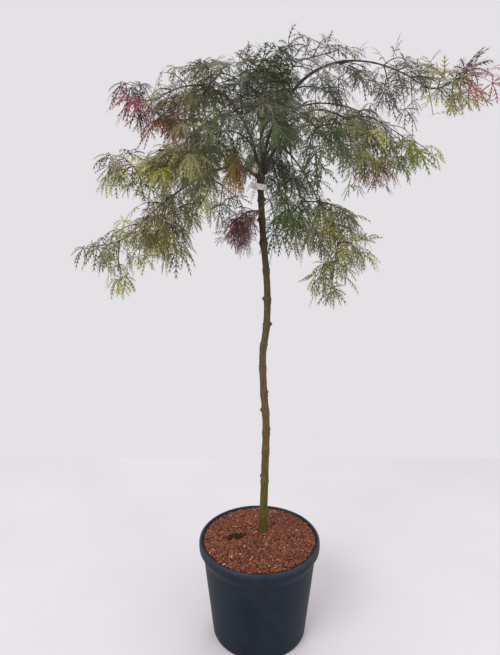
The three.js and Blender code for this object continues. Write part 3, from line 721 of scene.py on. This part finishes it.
# Which tints a spray's twigs are dealt, by the spray's main tint.
tintDeals = {
    "deep_green": [("deep_green", 0.86), ("grey_green", 0.14)],
    "grey_green": [("grey_green", 0.5), ("deep_green", 0.32), ("olive", 0.18)],
    "plum_grey": [("plum_grey", 0.5), ("grey_green", 0.3), ("olive", 0.1), ("lime_gold", 0.1)],
    "fresh_green": [("fresh_green", 0.55), ("deep_green", 0.2), ("lime_gold", 0.25)],
    "lime_gold": [("lime_gold", 0.72), ("fresh_green", 0.13), ("olive", 0.15)],
    "rust": [("rust", 0.7), ("olive", 0.15), ("lime_gold", 0.15)],
    "crimson": [("crimson", 0.9), ("plum_grey", 0.1)],
    "olive": [("olive", 0.6), ("lime_gold", 0.18), ("grey_green", 0.22)],
    "dusk": [("plum_grey", 0.7), ("crimson", 0.3)],
    "blush": [("plum_grey", 0.5), ("crimson", 0.5)],
    "grey_plum": [("plum_grey", 0.86), ("crimson", 0.14)],
    "grey_lace": [("grey_green", 0.6), ("plum_grey", 0.25), ("olive", 0.15)],
    "russet": [("rust", 0.5), ("crimson", 0.5)],
    "amber": [("rust", 0.42), ("lime_gold", 0.36), ("olive", 0.22)],
    "gold": [("lime_gold", 0.62), ("fresh_green", 0.12), ("olive", 0.14), ("rust", 0.12)],
}


def dealTint(mainTint, draw):
    left = draw()
    for tint, share in tintDeals[mainTint]:
        left -= share
        if left < 0:
            return tint
    return mainTint


def tintAt(t, home, draw):  # a spray's outer part is dealt other tints than its inner part
    return dealTint(home["tipTint"] if t > fineGrowth["tipFrom"] else home["tint"], draw)


labelAt = sum(np.array(corner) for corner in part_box("strap")) / mm / 2
labelSpace = [(-22, 16), (-400, 14), (-15, 13)]  # no leaf hangs here, in front of the label and round it


def hidesLabel(points):
    inside = [(points[:, i] > labelAt[i] + low) & (points[:, i] < labelAt[i] + high)
              for i, (low, high) in enumerate(labelSpace)]
    return bool(np.any(inside[0] & inside[1] & inside[2]))


def narrowing(base, loss):  # a radius that falls evenly along a twig
    return lambda t: base - loss * t


def between(span, draw):  # a drawn size, from the least one and how much more it may be
    least, more = span
    return least + more * draw()


def addLeaf(root, heading, length, home, tint, draw):
    length *= home["size"]
    for size, turn, drop in leaf["tries"]:
        way = unit(turned(heading, up, math.radians(turn)) - up * drop)
        stalk = leaf["stalk"] * length * size / leaf["length"]
        base = root + way * stalk - up * leaf["stalkSag"] * stalk
        points = leafPoints(base, way, length * size, home, draw)
        if np.all(points > home["low"]) and np.all(points < home["high"]) and not hidesLabel(points):
            shade = int(draw() * len(leafTints[tint]))
            path = bezier(root, root + way * leaf["stalkBend"] * stalk, base)
            stalkRadius = narrowing(1.15 * leaf["stalkRadius"], 0.3 * leaf["stalkRadius"])
            leafParts[tint].append((points, [leafTriangles], shade))
            leafParts[tint].append(tubePart(path, stalkRadius, 3, stalk / 2, look=shade))
            leafHomes[tint].add(home["node"])
            return True
    return False


def addTwig(path, reached, radiusAt, sides, spacing):  # drawn up to its last leaf, so none ends bare
    if reached > 0:
        shown = walked(path[:max(8, round(reached * pathSteps)) + 1])
        twigParts.append(tubePart(shown, radiusAt, sides, spacing))


def growTwig(path, radius, order, seed, home, tint):
    if order and path[-1][2] > home["high"][2] - leaf["endRoom"]:
        return  # its end leaf would stand over the mass
    draw = randomFrom(seed)  # the stream that the solids' twigs grow from
    fine = randomFrom(seed + fineGrowth["fineSeed"])
    length = lengthOf(path)
    nodes = max(1, round(length / twig["internode"]))
    reached = 0
    for k in range(nodes):
        t = min((k + twig["firstNode"]) / nodes, twig["lastNode"])
        start = pointOn(path, t)
        roll = ((k + 1) % 2) * twig["roll"] + (draw() - 0.5) * 2 * twig["rollSpread"]
        for hand, heading in enumerate(pairAcross(tangentOn(path, t), roll, draw)):
            reach = twig["sideLength"] * (1 + (draw() - 0.5) * 2 * twig["lengthSpread"])
            tint = tintAt(t, home, fine) if order == 0 else tint
            bears = False
            if order == 0 and k % 2 == 0:
                side = sideTwig(start, heading, reach * min(1, home["size"]))
                bears = inSpace(home["number"], side[::40]) and clearOfLimbs(side[40:], twig["sideRadius"])
            if bears:
                growTwig(side, twig["sideRadius"], 1, seed * 10 + 2 * k + hand, home, tint)
            else:
                size = leaf["length"] * (leaf["least"] + leaf["lengthSpread"] * draw())
                bears = addLeaf(start, heading, size, home, tint, fine)
            reached = t if bears else reached
    tint = tintAt(1, home, fine) if order == 0 else tint
    size = leaf["length"] * (leaf["least"] + leaf["lengthSpread"] * draw())
    if addLeaf(pointOn(path, twig["tipLeaf"]), tangentOn(path, 1), size, home, tint, fine):
        reached = 1
    reached = max(reached, growFiner(path, length, order, home, tint, fine))
    addTwig(path, reached, lambda t: (radius + (twig["tipRadius"] - radius) * t)
            * (1 + bumpAt(t * length, 0, twig["flare"], twig["flareLength"])), sides=5, spacing=8)


def growFiner(path, length, order, home, tint, fine):
    # Leaves, and short spurs that carry more, stand between the nodes that the solids have.
    spurLength, spurShare = fineGrowth["spurs"][order]
    pairs = round(length / fineGrowth["internode"] * home["fullness"])
    reached = 0
    for k in range(pairs):
        t = (k + fineGrowth["firstPair"]) / pairs
        start = pointOn(path, t)
        roll = (k % 2) * fineGrowth["roll"] + (fine() - 0.5) * fineGrowth["rollSpread"]
        tint = tintAt(t, home, fine) if order == 0 else tint
        for heading in pairAcross(tangentOn(path, t), roll, fine):
            size = leaf["length"] * between(fineGrowth["leafSize"], fine)
            if fine() < spurShare:
                bears = growSpur(start, heading, spurLength, size, order, home, tint, fine)
            else:
                bears = addLeaf(start, heading, size, home, tint, fine)
            reached = t if bears else reached
    return reached


def growSpur(start, heading, length, size, order, home, tint, fine):
    spur = sideTwig(start, heading, length * min(1, home["size"]) * between(fineGrowth["spurSize"], fine))
    reached = 0
    for along in fineGrowth["spurPairs"][order]:
        for way in pairAcross(tangentOn(spur, along), fine() * fineGrowth["spurRoll"], fine):
            if addLeaf(pointOn(spur, along), way, size * fineGrowth["spurLeaf"], home, tint, fine):
                reached = along
    if addLeaf(spur[-1], tangentOn(spur, 1), size, home, tint, fine):
        reached = 1
    addTwig(spur, reached, narrowing(*fineGrowth["spurRadius"]), sides=4, spacing=9)
    return reached > 0


def leavesSoFar():  # each leaf is two parts, its lobes and its stalk
    return sum(len(parts) for parts in leafParts.values()) // 2


for number, spray in enumerate(sprays):
    home = {"number": number, "node": "foliage_" + spray["name"], "tint": spray["tint"], "fullness": 1,
            "size": 1, "hang": leaf["hang"], "roll": leaf["roll"], "droop": leaf["droop"],
            "headroom": leaf["headroom"], "footroom": 0, "slack": leaf["slack"]}
    home.update(sprayLooks.get(spray["name"], {}))
    home.setdefault("tipTint", home["tint"])
    low, high = (np.array(corner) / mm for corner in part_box(home["node"]))
    home["low"] = low - home["slack"] + up * home["footroom"]
    home["high"] = high + [home["slack"], home["slack"], home["headroom"]]
    spray["home"] = home
    growTwig(spray["path"], spray["radius"], 0, number + 1, home, home["tipTint"])
print("sprays grown,", leavesSoFar(), "leaves,", len(twigParts), "twigs")

# Short leafy shoots stand along the limbs too, from where each stops being bare.
bareUpTo = {"front": 0.5, "front_left": 0.6, "front_right": 0.8, "left_low": 0.55, "crown_front": 0.6,
            "right_hang": 1, "left_hang": 1, "right_front": 0.75, "left_inner": 0.6, "right_low": 0.75,
            "right_under": 0.8, "right_high": 0.75, "left_side": 0.5, "right_back": 0.7, "right_top": 0.6,
            "right_mid": 0.78, "right_rear": 0.8, "back_right": 0.72, "left_high": 0.62, "back_left": 0.75,
            "left_back": 0.7, "left_rear": 0.6, "crown": 0.2, "others": 0.34}
innerTints = {"right_high": "grey_lace", "left_high": "olive", "right_mid": "olive", "left_low": "olive",
              "right_top": "grey_lace", "right_back": "grey_lace", "left_back": "olive",
              "left_front": "lime_gold", "left_side": "lime_gold", "right_low": "olive",
              "back_left": "grey_green", "left_rear": "olive", "others": "deep_green"}
crownLow = np.array(cadLow) / mm - fineGrowth["lowSlack"]
crownHigh = np.array(cadHigh) / mm
for number, (name, *_) in enumerate(limbs):
    path = grown[name][0]
    fine = randomFrom(fineGrowth["shootSeed"] + number)
    home = dict(sprays[number]["home"], low=crownLow, high=crownHigh, fullness=1,
                size=fineGrowth["shootLeaf"])
    bare = bareUpTo.get(name, bareUpTo["others"])
    count = round(lengthOf(path) * (1 - bare) / fineGrowth["shootSpacing"])
    for k in range(count):
        t = bare + (fineGrowth["lastShoot"] - bare) * (k + 0.5) / count
        tint = dealTint(innerTints.get(name, innerTints["others"]), fine)
        roll = (k % 2) * fineGrowth["shootRoll"] + (fine() - 0.5)
        for heading in pairAcross(tangentOn(path, t), roll, fine):
            reach = fineGrowth["shootLength"] * between(fineGrowth["spurSize"], fine)
            shoot = sideTwig(pointOn(path, t), heading, reach)
            reached = growFiner(shoot, reach, 2, home, tint, fine)
            if addLeaf(shoot[-1], tangentOn(shoot, 1), leaf["length"], home, tint, fine):
                reached = 1
            addTwig(shoot, reached, narrowing(*fineGrowth["shootRadius"]), sides=5, spacing=8)
print("shoots grown,", leavesSoFar(), "leaves,", len(twigParts), "twigs")

for tint, parts in leafParts.items():
    shades = [mapleLeaf("mapleLeaf_" + tint + "_" + str(i + 1), shade)
              for i, shade in enumerate(leafTints[tint])]
    makePiece("leaves_" + tint, parts, shades, sorted(leafHomes[tint]))
boughBark = youngBark("youngMapleBark_boughs", barkLook["boughs"], barkLook["boughBlotch"])
makePiece("fine_twigs", twigParts, [boughBark], ["foliage_" + s["name"] for s in sprays])


def barkRelief(size, lump, grooveWidth=1.6, grooveLength=14):  # lumps, and grooves that run upwards
    def relief(centres, outward, radii):
        points = centres[:, None] + outward * radii[..., None]
        return np.array([[
            size * noise.noise(Vector(p / lump))
            + size * 0.5 * noise.noise(Vector((p[0] / grooveWidth, p[1] / grooveWidth, p[2] / grooveLength)))
            for p in ring] for ring in points])
    return relief


def stemRelief(centres, outward, radii):
    rough = barkRelief(stem["rough"], stem["lump"])(centres, outward, radii)
    heights = centres[:, 2]
    bearings = np.degrees(np.arctan2(outward[..., 1], outward[..., 0]))
    for i, at in enumerate(stem["nodes"]):
        # A scar rings the stem as a ridge over a groove, and a pruned stub stands out on one side.
        rough += (bumpAt(heights, at, *stem["scar"])
                  - bumpAt(heights, at - stem["grooveBelow"], *stem["groove"]))[:, None]
        turn = (bearings - stem["stubTurn"] * i + 180) % 360 - 180
        across = np.radians(turn) * radii / stem["stubWidth"]
        stub = np.exp(-((heights[:, None] - at - 1) / stem["stubWidth"]) ** 2 - across ** 2)
        unequal = 0.7 + 0.3 * math.sin(i * 2.4)
        rough += np.clip(stub * 1.5, 0, 1) * stem["stubHeight"] * unequal
    return rough + bumpAt(heights, *stem["knuckle"])[:, None]


def stemWidth(t):
    heights = np.interp(t, np.linspace(0, 1, pathSteps + 1), stemPath[:, 2])
    closing = np.clip((1 - t) * 60, 0.02, 1) ** 0.5  # the top end is rounded
    return (stemRadius(heights) + bumpAt(heights, *stem["fork"])) * closing


stemBark = youngBark("youngMapleBark_stem", barkLook["stem"], barkLook["stemBlotch"])
sunkStem = np.concatenate([stemPath[:1] - up * stem["sunk"], stemPath])
makePiece("maple_stem", [tubePart(walked(sunkStem), stemWidth, stem["sides"], stem["spacing"], stemRelief)],
          [stemBark], ["stem"])

bough = {
    "rootShare": 0.75, "tipShare": 0.5,  # the bark's radius, as a share of the plain limb's
    "nodeSwelling": 0.35, "nodeSpacing": 42, "nodeLength": 3.2, "nodeShift": 7,
    "flare": 0.45, "flareLength": 16, "sunk": 6, "sides": 12, "spacing": 3.2, "rough": 0.28, "lump": 6,
}


def boughWidth(wide, narrow, length, shift):  # a bough's radius along it, with its nodes' swellings
    def widthAt(t):
        along = t * length
        fromNode = (along + shift) % bough["nodeSpacing"] - bough["nodeSpacing"] / 2
        swell = bumpAt(fromNode, 0, bough["nodeSwelling"], bough["nodeLength"])
        flare = bough["flare"] * wide * np.exp(-(along / bough["flareLength"]) ** 2)
        return wide + (narrow - wide) * t + swell + flare
    return widthAt


boughParts = []
for number, (name, parentName, at, *_) in enumerate(limbs):
    path, radii = grown[name]
    back = forks[name] - tangentOn(grown[parentName][0], at) * bough["sunk"]
    joined = threaded([back, path[0] + tangentOn(path, 0) * 2]
                      + [pointOn(path, s / 10) for s in range(1, 11)])
    widthAt = boughWidth(radii[0] * bough["rootShare"], radii[-1] * bough["tipShare"], lengthOf(joined),
                         number * bough["nodeShift"])
    boughParts.append(tubePart(joined, widthAt, bough["sides"], bough["spacing"],
                               barkRelief(bough["rough"], bough["lump"])))
makePiece("maple_boughs", boughParts, [boughBark], ["bough_" + limb[0] for limb in limbs])

pot = {
    "sides": 128, "drains": 6, "drainRadius": 7, "drainCircle": 78, "drainSides": 24, "sharpAngle": 50,
    # The outside from the base to the lip, over it and down inside, as radius and height.
    "profile": [
        (100, 0), (105, 0), (108.4, 1.3), (110, 4.6), (111, 14), (116, 64),
        (122, 122), (128.4, 186), (129.6, 198), (130.3, 201.5), (131.6, 204.4), (133.6, 208),
        (135.9, 213), (136.9, 216.4), (137.6, 218.2), (138.9, 219), (139.6, 220.4), (139.9, 223),
        (140, 229), (139.9, 234.6), (139.3, 237.4), (138, 239.2), (136.4, 240), (134.9, 239.6),
        (133.6, 238.2), (133, 236), (132.6, 228), (131.8, 218), (127, 201), (120, 122), (113, 60),
        (107.4, 6), (104, 4.6), (98, 4.6)],
}


def basePlate(corners, loops):  # triangles inside the first loop of corners and outside the others
    edges = [(a, b) for loop in loops for a, b in zip(loop, loop[1:] + loop[:1])]
    found = geometry.delaunay_2d_cdt([Vector(corner) for corner in corners], edges, [], 1, 1e-5)
    faces, madeFrom = found[2], found[3]
    triangles = [[madeFrom[i][0] for i in face] for face in faces]
    holes = [set(loop) for loop in loops[1:]]
    return np.array([face for face in triangles if not any(hole.issuperset(face) for hole in holes)])


def potShell():
    # The wall and lip are turned about Z, and drain holes go through the flat base between its edges.
    points, faces, look = lathedPart(pot["profile"], pot["sides"])
    count, around = pot["drains"], pot["drainSides"]
    spots = np.arange(count) / count * 2 * math.pi
    turns = np.arange(around) / around * 2 * math.pi
    holes = [[pot["drainCircle"] * math.cos(spot) + pot["drainRadius"] * math.cos(turn),
              pot["drainCircle"] * math.sin(spot) + pot["drainRadius"] * math.sin(turn)]
             for spot in spots for turn in turns]
    loops = [list(range(pot["sides"]))]
    loops += [[pot["sides"] + i * around + j for j in range(around)] for i in range(count)]
    rims = []
    for ring, flip in ((0, True), (len(pot["profile"]) - 1, False)):  # under the base and on it
        edge = np.arange(pot["sides"]) + ring * pot["sides"]
        rim = np.arange(len(holes)) + len(points)
        plate = np.concatenate([edge, rim])[basePlate([*points[edge, :2], *holes], loops)]
        faces.append(plate[:, ::-1] if flip else plate)
        rims.append(rim.reshape(count, around))
        points = np.concatenate([points, [[x, y, points[edge[0], 2]] for x, y in holes]])
    low, high = rims
    faces.append(np.stack([np.roll(low, -1, 1), low, high, np.roll(high, -1, 1)], axis=-1).reshape(-1, 4))
    return points, faces, look


makePiece("nursery_pot", [potShell()], [polypropylene()], ["pot"], pot["sharpAngle"])

soil = {
    "edge": 236, "crown": 248, "reach": 132.2, "rings": 70, "sectors": 150, "below": 1.5,
    # Below its edge the mix follows the pot's inside down to the base, as radius and height.
    "side": [(131.4, 218), (126.6, 201), (119.6, 122), (112.6, 60), (107, 6.4), (103.6, 4.9), (0.3, 4.9)],
    "hollow": {"x": -52, "y": -8, "width": 50, "depth": 27, "height": 17, "turn": 14},
    "lumps": [(9, 1.6, 0.5), (3, 0.8, 7.5)],  # how wide and high, and the noise's own layer
}


def heapHeight(radius):
    share = np.clip(radius / soil["reach"], 0, 1)
    return soil["edge"] + (soil["crown"] - soil["edge"]) * np.cos(share * math.pi / 2)


def soilHeight(x, y):
    dip = soil["hollow"]
    turn = math.radians(dip["turn"])
    u = ((x - dip["x"]) * math.cos(turn) + (y - dip["y"]) * math.sin(turn)) / (dip["width"] / 2)
    v = ((y - dip["y"]) * math.cos(turn) - (x - dip["x"]) * math.sin(turn)) / (dip["depth"] / 2)
    return heapHeight(np.hypot(x, y)) - dip["height"] * np.clip(1.25 * (1 - u * u - v * v), 0, 1) ** 0.6


def lumpAt(x, y):
    return sum(high * noise.noise(Vector((x / wide, y / wide, layer))) for wide, high, layer in soil["lumps"])


def mulchBed():
    angles = np.arange(soil["sectors"]) / soil["sectors"] * 2 * math.pi
    shares = np.linspace(0.002, 1, soil["rings"])
    x = (shares[:, None] * np.cos(angles) * soil["reach"]).ravel()
    y = (shares[:, None] * np.sin(angles) * soil["reach"]).ravel()
    z = soilHeight(x, y) - soil["below"]
    z += np.array([lumpAt(a, b) for a, b in zip(x, y)])
    side = [[r * math.cos(a), r * math.sin(a), h] for r, h in soil["side"] for a in angles]
    rings = soil["rings"] + len(soil["side"])
    top = np.arange(soil["sectors"])
    caps = [top[None], top[None, ::-1] + (rings - 1) * soil["sectors"]]
    points = np.concatenate([np.stack([x, y, z], axis=1), side])
    return points, [ringFaces(rings, soil["sectors"])[:, ::-1], *caps], 0


makePiece("mulch_bed", [mulchBed()], [milledPeat()], ["potting_mix"])

chip = {
    "count": 9500, "seed": 41, "fromRim": 5, "fromStem": 11, "sharpAngle": 20,
    "least": 1.3, "spread": 2.2, "shape": (5, 0.24),  # lengths follow a gamma distribution
    "width": (0.35, 0.7), "thickness": (0.16, 0.42), "uneven": 0.38, "tip": 0.42, "tilt": 0.5,
    "bury": (-0.9, 1.5),  # how deep or high over the mix its middle lies
    "shares": [0.4, 0.24, 0.22, 0.1, 0.04],  # of the tints, without the moss
    "dipFrom": 3, "inHollow": 0.1,  # where the hollow starts, and the share of chips that stay in it
    "mossSpan": (34, 20), "mossShare": 0.15,  # round the hollow
}


def barkChips():
    rng = np.random.default_rng(chip["seed"])
    count = chip["count"]
    radius = np.sqrt(rng.random(count)) * (soil["reach"] - chip["fromRim"])
    bearing = rng.random(count) * 2 * math.pi
    x, y = radius * np.cos(bearing), radius * np.sin(bearing)
    ground = soilHeight(x, y)
    inHollow = heapHeight(radius) - ground >= chip["dipFrom"]
    clear = np.hypot(x - stem["x"], y - stem["y"]) > chip["fromStem"]
    keep = clear & (~inHollow | (rng.random(count) < chip["inHollow"]))
    x, y, ground = x[keep], y[keep], ground[keep]
    count = len(x)
    # Each chip is a split flake: a wedge with eight uneven corners.
    size = rng.gamma(*chip["shape"], count) * chip["spread"] + chip["least"]
    shape = np.stack([size, size * rng.uniform(*chip["width"], count),
                      size * rng.uniform(*chip["thickness"], count)], 1)
    corners = np.array([[i, j, k] for i in (-1, 1) for j in (-1, 1) for k in (-1, 1)]) * 0.5
    local = corners[None] * (1 + rng.uniform(-chip["uneven"], chip["uneven"], (count, 8, 3)))
    local = local * shape[:, None]
    spin = rng.uniform(-math.pi, math.pi, count)
    tip = rng.normal(0, chip["tip"], count)
    tilt = rng.normal(0, chip["tilt"], count)
    cosSpin, sinSpin = np.cos(spin), np.sin(spin)
    cosTip, sinTip = np.cos(tip), np.sin(tip)
    cosTilt, sinTilt = np.cos(tilt), np.sin(tilt)
    turn = np.stack([
        cosSpin * cosTip, cosSpin * sinTip * sinTilt - sinSpin * cosTilt,
        sinSpin * sinTilt + cosSpin * sinTip * cosTilt,
        sinSpin * cosTip, cosSpin * cosTilt + sinSpin * sinTip * sinTilt,
        sinSpin * sinTip * cosTilt - cosSpin * sinTilt,
        -sinTip, cosTip * sinTilt, cosTip * cosTilt], axis=1).reshape(count, 3, 3)
    points = np.einsum("nij,nkj->nki", turn, local)
    centre = np.stack([x, y, ground + rng.uniform(*chip["bury"], count)], 1)
    points = points + centre[:, None]
    box = np.array([[0, 1, 3, 2], [4, 6, 7, 5], [0, 4, 5, 1], [2, 3, 7, 6], [0, 2, 6, 4], [1, 5, 7, 3]])
    faces = (box[None] + 8 * np.arange(count)[:, None, None]).reshape(-1, 4)
    picks = rng.choice(len(chip["shares"]), count, p=chip["shares"])
    hollow, (wide, deep) = soil["hollow"], chip["mossSpan"]
    nearHollow = np.hypot((x - hollow["x"]) / wide, (y - hollow["y"]) / deep) < 1
    picks[nearHollow & (rng.random(count) < chip["mossShare"])] = len(chip["shares"])
    return points.reshape(-1, 3), [faces], np.repeat(picks, len(box)).tolist()


flakes = [pineBark("pineBarkFlake_" + str(i + 1), c) for i, c in enumerate(chipLook["tints"])]
makePiece("bark_chips", [barkChips()], flakes, ["potting_mix"], chip["sharpAngle"])

strap = {
    "band": 11.5, "width": 27, "depth": 20, "thickness": 0.7, "tail": 9, "tilt": 9, "sharpAngle": 40,
    "tailWay": (0.55, -0.2), "tailSag": 0.6,  # how far the tail goes aside and down, by its length
    "turnSteps": 60, "tailSteps": 13, "rows": 7, "cup": 2.0, "waviness": 0.25,
    "taper": 0.55, "taperSteps": 7,  # the tail narrows to its end
}


def labelStrap():
    # The strap loops round the stem, overlaps itself and leaves a short tail that hangs forward.
    low, high = (np.array(corner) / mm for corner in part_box("strap"))
    turns = np.linspace(-0.15, 2 * math.pi * 0.93, strap["turnSteps"])
    loop = np.stack([strap["width"] / 2 * np.cos(turns), strap["depth"] / 2 * np.sin(turns)], 1)
    out = np.linspace(0, 1, strap["tailSteps"] + 1)[1:, None]
    tail = loop[-1] + out * (np.array(strap["tailWay"]) * strap["tail"])
    line = np.concatenate([loop, tail])
    sag = np.concatenate([np.zeros(len(loop)), out[:, 0] ** 1.6 * strap["tail"] * strap["tailSag"]])
    rows = np.linspace(-0.5, 0.5, strap["rows"])
    tilt = math.radians(strap["tilt"])
    outer, inner = [], []
    for i, (x, y) in enumerate(line):
        way = line[min(i + 1, len(line) - 1)] - line[max(i - 1, 0)]
        outX, outY = np.array([way[1], -way[0]]) / np.linalg.norm(way)
        narrowed = max(0, (i - len(line) + strap["taperSteps"]) / strap["taperSteps"])
        taper = 1 - strap["taper"] * narrowed ** 2
        for row in rows:
            cup = strap["cup"] * row * row + strap["waviness"] * math.sin(i * 0.4)
            for side, shell in ((0.5, outer), (-0.5, inner)):
                shift = cup + side * strap["thickness"]
                px, py, pz = x + outX * shift, y + outY * shift, row * strap["band"] * taper - sag[i]
                shell.append([px * math.cos(tilt) + pz * math.sin(tilt), py,
                              -px * math.sin(tilt) + pz * math.cos(tilt)])
    count, wide = len(line), len(rows)
    sheet = ringFaces(count, wide, closed=False)
    inside = count * wide  # where the inner side's points start
    border = (list(range(wide)) + [i * wide + wide - 1 for i in range(1, count)]
              + [(count - 1) * wide + j for j in range(wide - 2, -1, -1)]
              + [i * wide for i in range(count - 2, 0, -1)])
    hem = np.array([[a, b, b + inside, a + inside] for a, b in zip(border, border[1:] + border[:1])])
    return np.array(outer + inner) + (low + high) / 2, [sheet[:, ::-1], sheet + inside, hem], 0


makePiece("label_strap", [labelStrap()], [blankVinyl()], ["strap"], strap["sharpAngle"])

# The studio: a pale floor that ends behind the plant, three soft lights and the camera.
floor = {
    "left": -3, "right": 3, "front": -2.6, "back": 0.9,
    "tints": [(0.3, "d3d0d2"), (0.7, "d8d5d7")], "wear": 3.0,  # this many patches to the metre
}


def paintedFloor():  # screed, rolled with matt paint: pale and even, with faint wear
    material, tree, shader, place = startMaterial("paintedFloor", {"Roughness": 0.85})
    wear = addNode(tree, "ShaderNodeTexNoise", {"Scale": floor["wear"], "Detail": 4.0}, {"Vector": place})
    addNode(tree, "ShaderNodeValToRGB", {"stops": floor["tints"]}, {"Fac": wear.outputs["Fac"]},
            into=shader.inputs["Base Color"])
    return material


floorMesh = bpy.data.meshes.new("studio_floor")
floorMesh.from_pydata([(floor["left"], floor["front"], 0), (floor["right"], floor["front"], 0),
                       (floor["right"], floor["back"], 0), (floor["left"], floor["back"], 0)],
                      [], [(0, 1, 2, 3)])
floorMesh.materials.append(paintedFloor())
studioFloor = bpy.data.objects.new("studio_floor", floorMesh)
bpy.context.scene.collection.objects.link(studioFloor)
studioFloor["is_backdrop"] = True

lights = {  # where each stands in metres, what it faces, how wide it is and its power in watts
    "key": {"at": (-1.6, -2.1, 2.8), "to": (0.0, 0.0, 0.9), "size": 1.8, "power": 62},
    "fill": {"at": (2.4, -1.6, 1.6), "to": (0.0, 0.0, 0.9), "size": 2.2, "power": 18},
    "back": {"at": (0.6, 2.2, 2.4), "to": (0.0, 0.0, 1.0), "size": 1.6, "power": 22},
}
for name, light in lights.items():
    lamp = bpy.data.lights.new(name, "AREA")
    lamp.size = light["size"]
    lamp.energy = light["power"]
    holder = bpy.data.objects.new(name, lamp)
    holder.location = light["at"]
    holder.rotation_euler = (Vector(light["to"]) - Vector(light["at"])).to_track_quat("-Z", "Y").to_euler()
    bpy.context.scene.collection.objects.link(holder)

sky = {"colour": "eae7eb", "strength": 0.95}
world = bpy.data.worlds.new("paleStudio")
world.use_nodes = True
background = world.node_tree.nodes["Background"]
background.inputs["Color"].default_value = linear(sky["colour"])
background.inputs["Strength"].default_value = sky["strength"]
bpy.context.scene.world = world
bpy.context.scene.view_settings.view_transform = "Standard"

camera = {"at": (-0.022, -1.164, 1.006), "tilt": 77.13, "lens": 30.78, "sensor": 36}
lens = bpy.data.cameras.new("eyeLevel")
lens.lens = camera["lens"]
lens.sensor_width = camera["sensor"]
viewer = bpy.data.objects.new("eyeLevel", lens)
viewer.location = camera["at"]
viewer.rotation_euler = (math.radians(camera["tilt"]), 0, 0)
bpy.context.scene.collection.objects.link(viewer)
bpy.context.scene.camera = viewer
print("studio set up,", len(lights), "lights")

low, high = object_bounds()
print("visual box", [round(v, 3) for v in low], [round(v, 3) for v in high])
